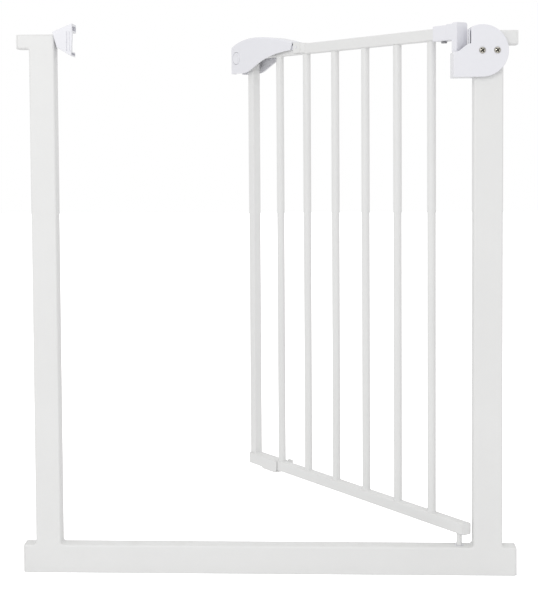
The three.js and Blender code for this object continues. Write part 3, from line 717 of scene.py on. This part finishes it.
class GATE_OT_door_frame(bpy.types.Operator):
    """Build the door's welded rails and latch stile, and its six round bars"""

    bl_idname = "gate.door_frame"
    bl_label = "Door"

    def execute(self, context):
        sizes = context.scene.gate_sizes
        top_low, top_high = node_box("door_top_rail", DOOR)
        base_low, base_high = node_box("door_bottom_rail", DOOR)
        stile_high = node_box("latch_stile", DOOR)[1]
        outline = [
            (base_low.x, base_low.z), (base_high.x, base_low.z), (base_high.x, base_high.z),
            (stile_high.x, base_high.z), (stile_high.x, top_low.z), (top_high.x, top_low.z),
            (top_high.x, top_high.z), (base_low.x, top_high.z),
        ]
        bm = prism(outline, base_low.y, base_high.y)
        corners = pick_edges(bm, lambda a, b: runs_across(a, b) and (
            near(a.x, stile_high.x) or near(a.x, base_low.x)))
        round_edges(bm, corners, sizes.door_round, 3)
        tube_edges = pick_edges(bm, lambda a, b: near(a.y, b.y) and not (
            near(a.x, b.x) and a.x > top_high.x - TINY))
        round_edges(bm, tube_edges, sizes.door_round, 4)
        settle("door_tubes", bm, "door", powder_coat(),
               ["door_top_rail", "door_bottom_rail", "latch_stile"], DOOR)
        for number in range(1, BARS + 1):
            self.add_bar(number, base_high.z, top_low.z, sizes.bar_weld)
        return {"FINISHED"}

    def add_bar(self, number, foot, head, bead):
        """A round bar with a small weld bead at each end."""
        low, high = node_box(f"bar_{number}", DOOR)
        radius = (high.y - low.y) / 2
        waist = radius + BEAD_WAIST["out"] * bead
        along, reach = BEAD_WAIST["along"] * bead, BEAD_REACH * bead
        profile = [(0, foot), (radius + bead, foot), (waist, foot + along), (radius, foot + reach),
                   (radius, head - reach), (waist, head - along), (radius + bead, head), (0, head)]
        place = DOOR @ Matrix.Translation(((low.x + high.x) / 2, 0, 0))
        settle(f"door_bar_{number}", turned(profile), "door", powder_coat(),
               [f"bar_{number}"], place)


PIN_CHAMFER = 0.6 * MM


class GATE_OT_lower_pivot(bpy.types.Operator):
    """Build the lower pivot: painted pin, rail bush and the plug in the door rail's end"""

    bl_idname = "gate.lower_pivot"
    bl_label = "Lower pivot"

    def execute(self, context):
        low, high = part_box("lower_pivot_pin")
        radius = (high.x - low.x) / 2
        profile = [(0, low.z), (radius - PIN_CHAMFER, low.z), (radius, low.z + PIN_CHAMFER),
                   (radius, high.z), (0, high.z)]
        settle("pivot_pin", turned(profile), "door", powder_coat(),
               ["lower_pivot_pin"], Matrix.Translation((HINGE.x, HINGE.y, 0)))
        edge = context.scene.gate_sizes.moulding_round
        softened("rail_end_plug", "door_rail_plug", pale_plastic(), edge)
        softened("pivot_bush", "lower_pivot_bush", white_plastic(), edge / 3)
        return {"FINISHED"}


# The clip's pad: its lower corner, its latch end's edges, and the undercut behind its hinge end.
CLIP_PAD = {
    "corner": 8.5 * MM, "end_round": 1.35 * MM, "skin": 0.7 * MM, "undercut": 2.6 * MM, "tall": 21 * MM,
    "off_rail": 0.1 * MM,
}


class GATE_OT_guide_clip(bpy.types.Operator):
    """Build the moulded clip at the foot of the latch stile"""

    bl_idname = "gate.guide_clip"
    bl_label = "Guide clip"

    def execute(self, context):
        low = node_box("bottom_guide_clip", DOOR)[0]
        rail_face = node_box("door_bottom_rail", DOOR)[0].y
        front = [p for p in node_points("bottom_guide_clip", DOOR) if near(p.y, low.y)]
        pad_end, turn = max(point.x for point in front), CLIP_PAD["corner"]
        bend = arc(pad_end - turn, low.z + turn, turn, -QUARTER_TURN, 0, 8)
        outside = [(pad_end - turn, low.z - MM), *bend,
                   (pad_end + MM, low.z + turn), (pad_end + MM, low.z - MM)]
        corner = prism(outside, low.y - MM, rail_face - CLIP_PAD["off_rail"])
        undercut = block((pad_end - CLIP_PAD["undercut"], low.y + CLIP_PAD["skin"], low.z - MM),
                         (pad_end + MM, rail_face, low.z + CLIP_PAD["tall"]))
        latch_end = (lambda a, b: near(a.x, b.x) and near(a.y, b.y) and near(a.x, low.x),
                     CLIP_PAD["end_round"])
        softened("guide_clip", "bottom_guide_clip", pale_plastic(),
                 context.scene.gate_sizes.moulding_round, DOOR, [latch_end], cuts=[corner, undercut])
        return {"FINISHED"}


# ---- the upper hinge ----------------------------------------------------------------------
HOUSING = {
    "disc": 35.8 * MM, "disc_steps": 44, "slot": 1.9 * MM, "foot_gap": 0.6 * MM, "ramp": 10.9 * MM,
    "ramp_start": 4 * MM, "ramp_end": 23 * MM, "ramp_steps": 12, "post_gap": 0.3 * MM,
    "well": 12.5 * MM, "well_tall": 60 * MM,
}
# Upright rib and web in the slot: how far each stands left of the slot's wall, how deep, how tall.
SLOT_RIB = {"left": 2.2 * MM, "right": 1.1 * MM, "front": -19 * MM, "back": -8.5 * MM}
SLOT_WEB = {"left": 2.2 * MM, "right": -MM, "front": -9.5 * MM, "back": -8.3 * MM}
SLOT_SPAN = {"foot": 44 * MM, "head": 65.3 * MM, "round": 0.3 * MM}
SCREW_SEAT = {"radius": 4.7 * MM, "front": 1.2 * MM, "back": 5 * MM, "hole": 2.4 * MM}
# Radius and height of the screw's domed head, and its shank's radius.
SCREW_HEAD = [(0, 0), (1.6, -0.05), (2.9, -0.45), (3.8, -1.15), (4.2, -1.9), (4.2, -2.2), (2, -2.2)]
SCREW_SHANK = 2 * MM
# Arm length, arm half-width, depth and turn of the screw's cross recess, and the thickness of the dark
# plate that paints shade in its floor.
SCREW_CROSS = {
    "arm": 3.3 * MM, "half": 0.95 * MM, "depth": 1.5 * MM, "shade_plate": 0.15 * MM, "turn": math.radians(38),
}


def housing_outline(low, high):
    """Round disc on the right, slot for the hinge tower, and a cam-like ramp on the left."""
    radius = HOUSING["disc"]
    cx, cz = high.x - radius, low.z + radius
    tower_low, tower_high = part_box("hinge_bracket")
    slot = tower_high.x + HOUSING["slot"]
    ramp_foot = tower_low.z - HOUSING["foot_gap"]
    ramp_head = ramp_foot + HOUSING["ramp"]
    start, end = low.x + HOUSING["ramp_start"], low.x + HOUSING["ramp_end"]
    slot_angle = math.acos((slot - cx) / radius)
    points = [(low.x, low.z)]
    points += arc(cx, cz, radius, -QUARTER_TURN, slot_angle, HOUSING["disc_steps"])
    points.append((slot, ramp_head))
    for i in range(HOUSING["ramp_steps"], -1, -1):
        x = start + (end - start) * i / HOUSING["ramp_steps"]
        points.append((x, ramp_foot + HOUSING["ramp"] * smooth(x, start, end)))
    points.append((low.x, ramp_foot))
    return points


class GATE_OT_hinge_housing(bpy.types.Operator):
    """Build the two halves of the upper hinge housing and their cross-head screws"""

    bl_idname = "gate.hinge_housing"
    bl_label = "Hinge housing"

    def execute(self, context):
        radius = context.scene.gate_sizes.housing_round
        self.add_half("front", -1, radius)
        self.add_half("back", 1, radius)
        for name in ("inner", "outer"):
            self.add_screw(name)
        return {"FINISHED"}

    def add_half(self, name, side, radius):
        """One half of the housing; the front one has the rib and web in its slot."""
        node = f"hinge_housing_{name}"
        low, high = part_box(node)
        outer = low.y if side < 0 else high.y
        bm = prism(housing_outline(low, high), low.y, high.y)
        rim = pick_edges(bm, lambda a, b: near(a.y, outer) and near(b.y, outer))
        round_edges(bm, rim, radius, 5)
        cuts = [self.post_space(), self.hinge_well(), *self.screw_seats(name, outer, side)]
        bm = combined(bm, cuts, "DIFFERENCE")
        if side < 0:
            ribs = [self.slot_upright(low, SLOT_RIB), self.slot_upright(low, SLOT_WEB)]
            bm = combined(bm, ribs, "UNION")
        settle(f"hinge_shell_{name}", bm, "frame", white_plastic(), [node],
               sharp=FINE_SHARP)

    def post_space(self):
        """Room for the post and the stub inside the shell."""
        post_low, post_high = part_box("right_upright")
        gap = HOUSING["post_gap"]
        stub_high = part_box("top_stub_right")[1]
        outline = [
            (post_low.x - gap, post_low.z), (post_high.x + gap, post_low.z),
            (post_high.x + gap, post_high.z), (stub_high.x, post_high.z),
            (stub_high.x, stub_high.z + gap), (post_low.x - gap, stub_high.z + gap),
        ]
        return prism(outline, post_low.y - gap, post_high.y + gap)

    def hinge_well(self):
        """Round well in which the hinge tower turns."""
        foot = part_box("hinge_bracket")[0].z - HOUSING["foot_gap"]
        return rod(HOUSING["well"], (HINGE.x, HINGE.y, foot),
                   (HINGE.x, HINGE.y, foot + HOUSING["well_tall"]), 64)

    def screw_seats(self, half, outer, side):
        """Counterbores for the screw heads, and the holes of the shanks."""
        seats = []
        for name in ("inner", "outer"):
            low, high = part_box(f"housing_screw_{name}")
            x, z = (low.x + high.x) / 2, (low.z + high.z) / 2
            seats.append(rod(SCREW_SEAT["radius"], (x, outer + side * MM, z),
                             (x, outer - side * SCREW_SEAT[half], z)))
            seats.append(rod(SCREW_SEAT["hole"], (x, -WIDE, z), (x, WIDE, z)))
        return seats

    def slot_upright(self, low, upright):
        """A rib or a web that stands in the slot beside the tower."""
        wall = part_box("hinge_bracket")[1].x + HOUSING["slot"]
        return block((wall - upright["left"], upright["front"], low.z + SLOT_SPAN["foot"]),
                     (wall - upright["right"], upright["back"], low.z + SLOT_SPAN["head"]),
                     SLOT_SPAN["round"], 2)

    def cross_arms(self, foot, head):
        """The two arms of the screw's cross between two depths, turned together."""
        arm, half = SCREW_CROSS["arm"], SCREW_CROSS["half"]
        arms = [block((-x, -y, foot), (x, y, head)) for x, y in ((arm, half), (half, arm))]
        for bm in arms:
            bm.transform(Matrix.Rotation(SCREW_CROSS["turn"], 4, "Z"))
        return arms

    def add_screw(self, name):
        """Domed head with a cross recess on a plain shank, and a dark plate in the recess's floor that
        paints its shade.
        """
        low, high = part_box(f"housing_screw_{name}")
        reach, depth = high.y - low.y, SCREW_CROSS["depth"]
        profile = [(radius * MM, height * MM) for radius, height in SCREW_HEAD]
        profile += [(SCREW_SHANK, -reach), (0, -reach)]
        bm = combined(turned(profile), self.cross_arms(-depth, MM), "DIFFERENCE")
        place = (Matrix.Translation(((low.x + high.x) / 2, low.y, (low.z + high.z) / 2))
                 @ Matrix.Rotation(QUARTER_TURN, 4, "X"))
        settle(f"housing_bolt_{name}", bm, "frame", bright_nickel(),
               [f"housing_screw_{name}"], place)
        # Painted shade: a thin dark plate in the floor of the cross recess.
        first, second = self.cross_arms(-depth, SCREW_CROSS["shade_plate"] - depth)
        shade_plate = combined(first, [second], "UNION")
        settle(f"screw_recess_{name}", shade_plate, "frame", blackened_steel(), (), place)


BRACKET = {
    "collar": -16.1 * MM, "below_rail": 1.8 * MM, "step": 1.0 * MM, "edge": 1.2 * MM, "crown": 3.5 * MM,
    "gap": 0.35 * MM, "lap": 2 * MM, "sleeve_drop": 2.9 * MM, "root_drop": 2 * MM, "cap": 3.6 * MM,
    "screw_round": 0.3 * MM,
}


class GATE_OT_hinge_bracket(bpy.types.Operator):
    """Build the door's upper bracket: sleeve over the rail, collar and hinge tower"""

    bl_idname = "gate.hinge_bracket"
    bl_label = "Hinge bracket"

    def execute(self, context):
        low, high = node_box("hinge_bracket", DOOR)
        rail_low, rail_high = node_box("door_top_rail", DOOR)
        collar, edge, gap = BRACKET["collar"], BRACKET["edge"], BRACKET["gap"]
        floor = rail_low.z - BRACKET["below_rail"]
        sleeve = block(
            (low.x, low.y + BRACKET["step"], floor),
            (collar + BRACKET["lap"], high.y - BRACKET["step"], high.z - BRACKET["sleeve_drop"]), edge
        )
        root = block((collar, low.y, floor), (high.x, high.y, high.z - BRACKET["root_drop"]), edge)
        tower = block((-high.x, low.y, low.z), (high.x, high.y, high.z))
        crown = pick_edges(
            tower, lambda a, b: near(a.y, b.y) and near(a.z, high.z) and near(b.z, high.z))
        round_edges(tower, crown, BRACKET["crown"], 5)
        round_edges(tower, crisp_edges(tower, CRISP), edge, 3)
        bm = combined(root, [sleeve, tower], "UNION")
        pocket = block((low.x - MM, rail_low.y - gap, rail_low.z - gap),
                       (rail_high.x + gap, rail_high.y + gap, rail_high.z + gap))
        pin_low, pin_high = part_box("upper_pivot_pin")
        pin_radius = (pin_high.x - pin_low.x) / 2
        pin_hole = rod(pin_radius + gap, (0, 0, low.z - MM), (0, 0, high.z - BRACKET["cap"]))
        bm = combined(bm, [pocket, pin_hole], "DIFFERENCE")
        settle("hinge_sleeve", bm, "door", white_plastic(), ["hinge_bracket"], DOOR,
               FINE_SHARP)
        softened("sleeve_screw", "bracket_screw", zinc_plate(), BRACKET["screw_round"])
        return {"FINISHED"}


# ---- the latch ----------------------------------------------------------------------------
# Side shape of the catch, in millimetres along the gate and up from the floor.
CATCH_SHAPE = [
    (-296.2, 763), (-294, 764), (-268.2, 774.7), (-268.2, 763), (-269.6, 736), (-269.6, 729.1),
    (-290, 741.5),
]
CATCH_CHANNEL = {
    "mouth": -281 * MM, "floor": 736 * MM, "roof": 763 * MM, "half": 8 * MM, "cheek": 2.2 * MM,
}
CATCH_NOTCH = {"deep": 5.5 * MM, "overlap": MM}
# Pockets in the end faces of the two lips, as clearances from the lip's faces.
CATCH_POCKET = {
    "deep": 5 * MM, "half": 12.4 * MM, "roof": 2 * MM, "top": 3.4 * MM, "low": 2.2 * MM,
    "floor": 1.6 * MM,
}
# Start, end and depth of the relief on the cheeks, in millimetres from the channel's inner end.
CATCH_RELIEF = [(4.6, 6.2, 1.0), (6.1, 20, 0.4), (8.6, 9.9, 1.0)]
CATCH_CLEARANCE = 0.3 * MM
CATCH_SCREW_ROUND = 0.25 * MM


class GATE_OT_latch_catch(bpy.types.Operator):
    """Build the moulded catch on the latch post"""

    bl_idname = "gate.latch_catch"
    bl_label = "Latch catch"

    def execute(self, context):
        radius = context.scene.gate_sizes.moulding_round
        low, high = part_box("latch_catch")
        bm = prism([(x * MM, z * MM) for x, z in CATCH_SHAPE], low.y, high.y)
        round_edges(bm, crisp_edges(bm, CRISP), 2 * radius, 3)
        cuts = [self.post_room(low, high), *self.openings(high, radius), *self.lip_pockets(low, high)]
        for face, out in ((low.y, -1), (high.y, 1)):
            cuts += [self.groove(face, out, relief) for relief in CATCH_RELIEF]
        cuts.append(self.screw_hole())
        bm = combined(bm, cuts, "DIFFERENCE")
        settle("catch_moulding", bm, "frame", white_plastic(), ["latch_catch"])
        softened("catch_bolt", "catch_screw", zinc_plate(), CATCH_SCREW_ROUND)
        return {"FINISHED"}

    def post_room(self, low, high):
        """Room for the post between the catch's cheeks."""
        post_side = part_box("left_upright")[1].x + CATCH_CLEARANCE
        cheek = CATCH_CHANNEL["cheek"]
        return block((low.x - MM, low.y + cheek, low.z - MM), (post_side, high.y - cheek, high.z + MM))

    def openings(self, high, radius):
        """The bolt's channel, and the notch in its back cheek."""
        floor, roof = CATCH_CHANNEL["floor"], CATCH_CHANNEL["roof"]
        mouth, half = CATCH_CHANNEL["mouth"], CATCH_CHANNEL["half"]
        channel = block((mouth, -half, floor), (high.x + MM, half, roof), radius)
        notch = block((high.x - CATCH_NOTCH["deep"], half - CATCH_NOTCH["overlap"], floor),
                      (high.x + MM, high.y + MM, roof))
        return [channel, notch]

    def lip_pockets(self, low, high):
        """A pocket in the end of each lip, above and below the channel."""
        pocket = CATCH_POCKET
        floor, roof = CATCH_CHANNEL["floor"], CATCH_CHANNEL["roof"]
        upper = (roof + pocket["roof"], high.z - pocket["top"])
        lower = (low.z + pocket["low"], floor - pocket["floor"])
        return [
            block((high.x - pocket["deep"], -pocket["half"], foot), (high.x + MM, pocket["half"], head))
            for foot, head in (upper, lower)
        ]

    def groove(self, face, out, relief):
        """A shallow cut in the outer face of a cheek, between the channel's floor and roof."""
        start, end, depth = (amount * MM for amount in relief)
        mouth = CATCH_CHANNEL["mouth"]
        near_side, far_side = sorted((face + out * MM, face - out * depth))
        return block((mouth + start, near_side, CATCH_CHANNEL["floor"]),
                     (mouth + end, far_side, CATCH_CHANNEL["roof"]))

    def screw_hole(self):
        low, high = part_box("catch_screw")
        radius = (high.y - low.y) / 2 + CATCH_CLEARANCE
        level = (low.z + high.z) / 2
        return rod(radius, (low.x - MM, 0, level), (CATCH_CHANNEL["mouth"] + MM, 0, level))


# Curves of the handle cover, in millimetres back from its latch end and up from its lower edge.
COVER_CREST = [
    [(0.9, 45.8), (17.4, 54.0), (40.4, 58.4), (64.4, 58.4)],
    [(64.4, 58.4), (100.4, 58.4), (134.4, 52.0), (167.4, 43.6)],
]
COVER_SKIRT = [
    [(0.0, 0.0), (10.0, 0.0), (22.0, 0.0), (32.4, 0.0)],
    [(32.4, 0.0), (44.4, 0.0), (52.4, 1.9), (62.4, 6.8)],
    [(62.4, 6.8), (87.4, 19.0), (117.4, 29.5), (162.4, 31.0)],
]
COVER_STATIONS = 48
COVER_TAPER = {"narrow": 0.74, "from": 77.4, "to": 167.4}
COVER_TAIL = 150 * MM
COVER_LIP = 0.38
BOLT_SLOT = {"side": 0.6 * MM, "above": 3 * MM, "deep": 5 * MM}
BUTTON_HOLE = {"radius": 10.8 * MM, "deep": 6 * MM}
BUTTON_PROUD = 0.6 * MM
# Radius and height of the button's dished face, rim and skirt, in millimetres.
BUTTON_PROFILE = [
    (0, -0.5), (4.0, -0.35), (6.6, 0.1), (7.4, 0.5), (8.4, 0.6), (9.6, 0.45), (10.4, -0.3), (10.4, -3.4),
    (0, -3.4),
]
LUG = {"radius": 3.6 * MM, "thick": 1.6 * MM, "inner": 7.95 * MM, "arm": 21 * MM, "half": 3.4 * MM}
TAIL_NOSE = {"lap": 4 * MM, "reach": 8 * MM, "foot": 2 * MM, "over": 0.8 * MM, "skin": 0.35 * MM}
AXLE_ROUND = 0.3 * MM


class GATE_OT_latch_handle(bpy.types.Operator):
    """Build the arched latch handle: hollow cover, release button, base, bolt, spring and lever pin"""

    bl_idname = "gate.latch_handle"
    bl_label = "Latch handle"

    def execute(self, context):
        sizes = context.scene.gate_sizes
        edge = sizes.moulding_round
        self.add_cover(sizes)
        self.add_button()
        softened("handle_foot", "handle_base", pale_plastic(), edge, DOOR,
                 added=[self.tail_nose()])
        softened("bolt_tongue", "latch_bolt", white_plastic(), edge)
        softened("lever_axle", "lever_pin", white_plastic(), AXLE_ROUND)
        self.add_spring()
        return {"FINISHED"}

    def tail_nose(self):
        """Sloping end that runs the handle's base down onto the rail."""
        low, high = node_box("handle_base", DOOR)
        rail_low, rail_high = node_box("door_top_rail", DOOR)
        nose = block((high.x - TAIL_NOSE["lap"], low.y, rail_low.z + TAIL_NOSE["foot"]),
                     (high.x + TAIL_NOSE["reach"], high.y, rail_high.z + TAIL_NOSE["over"]))
        thin = (rail_high.y + TAIL_NOSE["skin"]) / high.y
        tip = [vert for vert in nose.verts if vert.co.x > high.x]
        bmesh.ops.scale(nose, vec=(1, thin, 1), verts=tip)
        return nose

    def cover_block(self, low, high):
        """The cover as a solid block between its crest and skirt curves, narrowing to its tail."""
        crest = [point for curve in COVER_CREST for point in bezier(curve)]
        skirt = [point for curve in COVER_SKIRT for point in bezier(curve)]
        reach_top, reach_low = crest[-1][0], skirt[-1][0]
        bm = bmesh.new()
        bmesh.ops.create_grid(bm, x_segments=COVER_STATIONS, y_segments=1, size=0.5)
        for vert in bm.verts:
            share, upper = vert.co.x + 0.5, vert.co.y > 0
            back = share * (reach_top if upper else reach_low)
            height = height_at(crest if upper else skirt, back)
            vert.co = (low.x + back * MM, low.y, low.z + height * MM)
        grown = bmesh.ops.extrude_face_region(bm, geom=bm.faces[:])["geom"]
        moved = [item for item in grown if isinstance(item, bmesh.types.BMVert)]
        bmesh.ops.translate(bm, verts=moved, vec=(0, high.y - low.y, 0))
        for vert in bm.verts:
            back = (vert.co.x - low.x) / MM
            narrowing = smooth(back, COVER_TAPER["from"], COVER_TAPER["to"])
            vert.co.y *= 1 - (1 - COVER_TAPER["narrow"]) * narrowing
        bmesh.ops.recalc_face_normals(bm, faces=bm.faces[:])
        return bm

    def add_cover(self, sizes):
        """The hollow cover: a block rounded along its top, opened below and behind, and given a wall."""
        low, high = node_box("handle_cover", DOOR)
        bm = self.cover_block(low, high)
        edges = [edge for edge in crisp_edges(bm, math.radians(40)) if any(
            face.normal.z > 0.3 or near(face.calc_center_median().x, low.x)
            for face in edge.link_faces)]
        edges = [edge for edge in edges if max(vert.co.z for vert in edge.verts) > low.z + TINY]
        round_edges(bm, edges, sizes.cover_round, 5)
        openings = [face for face in bm.faces if face.normal.z < -0.2 or (
            face.normal.x > 0.6 and face.calc_center_median().x > low.x + COVER_TAIL)]
        bmesh.ops.delete(bm, geom=openings, context="FACES")
        bmesh.ops.solidify(bm, geom=bm.faces[:], thickness=sizes.cover_wall)
        bmesh.ops.recalc_face_normals(bm, faces=bm.faces[:])
        round_edges(bm, crisp_edges(bm, math.radians(60)), sizes.cover_wall * COVER_LIP, 3)
        button_low, button_high = node_box("release_button", DOOR)
        middle = (button_low + button_high) / 2
        bolt_low, bolt_high = node_box("latch_bolt", DOOR)
        side = BOLT_SLOT["side"]
        bolt_slot = block((low.x - MM, bolt_low.y - side, low.z - MM),
                          (low.x + BOLT_SLOT["deep"], bolt_high.y + side,
                           bolt_high.z + BOLT_SLOT["above"]))
        button_hole = rod(BUTTON_HOLE["radius"], (middle.x, low.y - MM, middle.z),
                          (middle.x, low.y + BUTTON_HOLE["deep"], middle.z), 56)
        bm = combined(bm, [bolt_slot, button_hole], "DIFFERENCE")
        settle("handle_shell", bm, "handle", white_plastic(), ["handle_cover"], DOOR)
        self.add_lugs()

    def add_lugs(self):
        """Lugs inside the handle's tail that ride on the lever pin."""
        lever = DOOR.inverted() @ LEVER
        radius, thick, half = LUG["radius"], LUG["thick"], LUG["half"]
        solids = []
        for face in (-LUG["inner"] - thick, LUG["inner"]):
            lug = turned([(0, 0), (radius, 0), (radius, thick), (0, thick)])
            lug.transform(Matrix.Translation((lever.x, face, lever.z))
                          @ Matrix.Rotation(-QUARTER_TURN, 4, "X"))
            arm = block((lever.x - LUG["arm"], face, lever.z - half),
                        (lever.x, face + thick, lever.z + half))
            solids += [lug, arm]
        bm = combined(solids[0], solids[1:], "UNION")
        settle("handle_lugs", bm, "handle", white_plastic(), (), DOOR)

    def add_button(self):
        """Low round push button with a raised rim and a dished middle."""
        low, high = node_box("release_button", DOOR)
        middle = (low + high) / 2
        profile = [(radius * MM, height * MM) for radius, height in BUTTON_PROFILE]
        place = (DOOR @ Matrix.Translation((middle.x, low.y + BUTTON_PROUD, middle.z))
                 @ Matrix.Rotation(QUARTER_TURN, 4, "X"))
        settle("push_button", turned(profile, 56), "button", white_plastic(),
               ["release_button"], place, math.radians(50))

    def add_spring(self):
        """Coil between the handle's base and the bolt, a plated copy of its CAD shape."""
        spring = held_mesh("latch_spring", merged_copy("bolt_spring", ROW))
        spring.data.shade_smooth()
        spring.data.materials.append(zinc_plate())
        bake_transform(spring)
        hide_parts("bolt_spring")


# ---- plated pieces that keep their CAD shape ----------------------------------------------
PLATED_NODES = [f"spindle_nut_{corner}" for corner in CORNERS] + [
    "housing_nut_inner", "housing_nut_outer", "closing_spring", "upper_pivot_pin", "pin_collar",
    "handle_base_screw",
]


class GATE_OT_hardware(bpy.types.Operator):
    """Give the nuts, pins and springs that stay as they are their plated finish"""

    bl_idname = "gate.hardware"
    bl_label = "Plated hardware"

    def execute(self, context):
        for node in PLATED_NODES:
            piece = frame["nodes"][node]
            piece.data.materials.clear()
            piece.data.materials.append(zinc_plate())
        return {"FINISHED"}


# ---- studio -------------------------------------------------------------------------------
WHITE = (1, 1, 1, 1)
FLOOR_HALF = 9
FLOOR_MOTTLE = 0.967
# Place and diameter of each round light, in metres.
LIGHTS = {"key": ((-1.0, -2.9, 1.7), 1.2), "fill": ((0.2, 0.5, 2.6), 1.8)}


def area_light(name, place, target, size, power):
    data = bpy.data.lights.new(name, "AREA")
    data.shape = "DISK"
    data.size = size
    data.energy = power
    light = bpy.data.objects.new(name, data)
    light.location = place
    light.rotation_euler = (Vector(target) - Vector(place)).to_track_quat("-Z", "Y").to_euler()
    bpy.context.scene.collection.objects.link(light)


class GATE_OT_studio(bpy.types.Operator):
    """Set the camera, the pale floor and the soft lights"""

    bl_idname = "gate.studio"
    bl_label = "Studio"

    def execute(self, context):
        studio = context.scene.gate_studio
        self.add_camera(context, studio)
        self.add_floor(context.scene.gate_finishes.floor)
        self.add_room(context, studio)
        middle = (CAD_BOX[0] + CAD_BOX[1]) / 2
        for name, (place, size) in LIGHTS.items():
            area_light(name, place, middle, size, getattr(studio, name))
        return {"FINISHED"}

    def add_camera(self, context, studio):
        """A camera with a shifted lens, turned by pitch, roll and turn."""
        data = bpy.data.cameras.new("camera")
        data.lens = studio.lens
        data.shift_y = studio.rise
        camera = bpy.data.objects.new("camera", data)
        pitch, roll, turn = studio.turn
        aim = (Matrix.Rotation(turn, 4, "Z") @ Matrix.Rotation(QUARTER_TURN - pitch, 4, "X")
               @ Matrix.Rotation(roll, 4, "Z"))
        camera.matrix_world = Matrix.Translation(studio.eye) @ aim
        context.scene.collection.objects.link(camera)
        context.scene.camera = camera
        context.scene.view_settings.view_transform = "Standard"

    def add_floor(self, colour):
        """A wide floor that lights the gate softly and looks white to the camera."""
        bm = bmesh.new()
        bmesh.ops.create_grid(bm, x_segments=8, y_segments=8, size=FLOOR_HALF)
        floor = held_mesh("studio_floor", bm)
        material, tree, shader, place = started_material("pale_floor")
        surface = placed_group(tree, skin_group(), place, peel_scale=220, mottle_scale=1.5,
                               least_roughness=0.6, most_roughness=0.75)
        tint = mixed(tree, surface.outputs["Mottle"], tuple(colour), shaded(colour, FLOOR_MOTTLE))
        ray = tree.nodes.new("ShaderNodeLightPath")
        feed(tree, shader, Base_Color=tint, Roughness=surface.outputs["Roughness"],
             Emission_Color=WHITE, Emission_Strength=ray.outputs["Is Camera Ray"])
        floor.data.materials.append(material)

    def add_room(self, context, studio):
        """White surroundings to the camera, and an even softer light on the gate."""
        world = bpy.data.worlds.new("white_room")
        world.use_nodes = True
        tree = world.node_tree
        lit = tree.nodes["Background"]
        lit.inputs["Strength"].default_value = studio.ambient
        seen = tree.nodes.new("ShaderNodeBackground")
        seen.inputs["Color"].default_value = WHITE
        lit.inputs["Color"].default_value = WHITE
        mix = tree.nodes.new("ShaderNodeMixShader")
        ray = tree.nodes.new("ShaderNodeLightPath")
        tree.links.new(ray.outputs["Is Camera Ray"], mix.inputs["Fac"])
        tree.links.new(lit.outputs["Background"], mix.inputs[1])
        tree.links.new(seen.outputs["Background"], mix.inputs[2])
        tree.links.new(mix.outputs["Shader"], tree.nodes["World Output"].inputs["Surface"])
        context.scene.world = world


# ---- add-on -------------------------------------------------------------------------------
STEPS = (
    GATE_OT_welded_frame, GATE_OT_end_plugs, GATE_OT_door_frame, GATE_OT_lower_pivot,
    GATE_OT_guide_clip, GATE_OT_hinge_housing, GATE_OT_hinge_bracket, GATE_OT_latch_catch,
    GATE_OT_latch_handle, GATE_OT_hardware, GATE_OT_studio,
)


class GATE_PT_steps(bpy.types.Panel):
    """Lists the gate's build steps and settings"""

    bl_idname = "GATE_PT_steps"
    bl_label = "Safety gate"
    bl_space_type = "VIEW_3D"
    bl_region_type = "UI"
    bl_category = "Gate"

    def draw(self, context):
        for step in STEPS:
            self.layout.operator(step.bl_idname)
        for group in (context.scene.gate_sizes, context.scene.gate_finishes, context.scene.gate_studio):
            for name in group.__annotations__:
                self.layout.prop(group, name)


CLASSES = (GateSizes, GateFinishes, GateStudio, *STEPS, GATE_PT_steps)


def register():
    for cls in CLASSES:
        bpy.utils.register_class(cls)
    bpy.types.Scene.gate_sizes = bpy.props.PointerProperty(type=GateSizes)
    bpy.types.Scene.gate_finishes = bpy.props.PointerProperty(type=GateFinishes)
    bpy.types.Scene.gate_studio = bpy.props.PointerProperty(type=GateStudio)


def unregister():
    del bpy.types.Scene.gate_studio
    del bpy.types.Scene.gate_finishes
    del bpy.types.Scene.gate_sizes
    for cls in reversed(CLASSES):
        bpy.utils.unregister_class(cls)


def main():
    register()
    for step in STEPS:
        module, name = step.bl_idname.split(".")
        getattr(getattr(bpy.ops, module), name)()


if __name__ == "__main__":
    main()
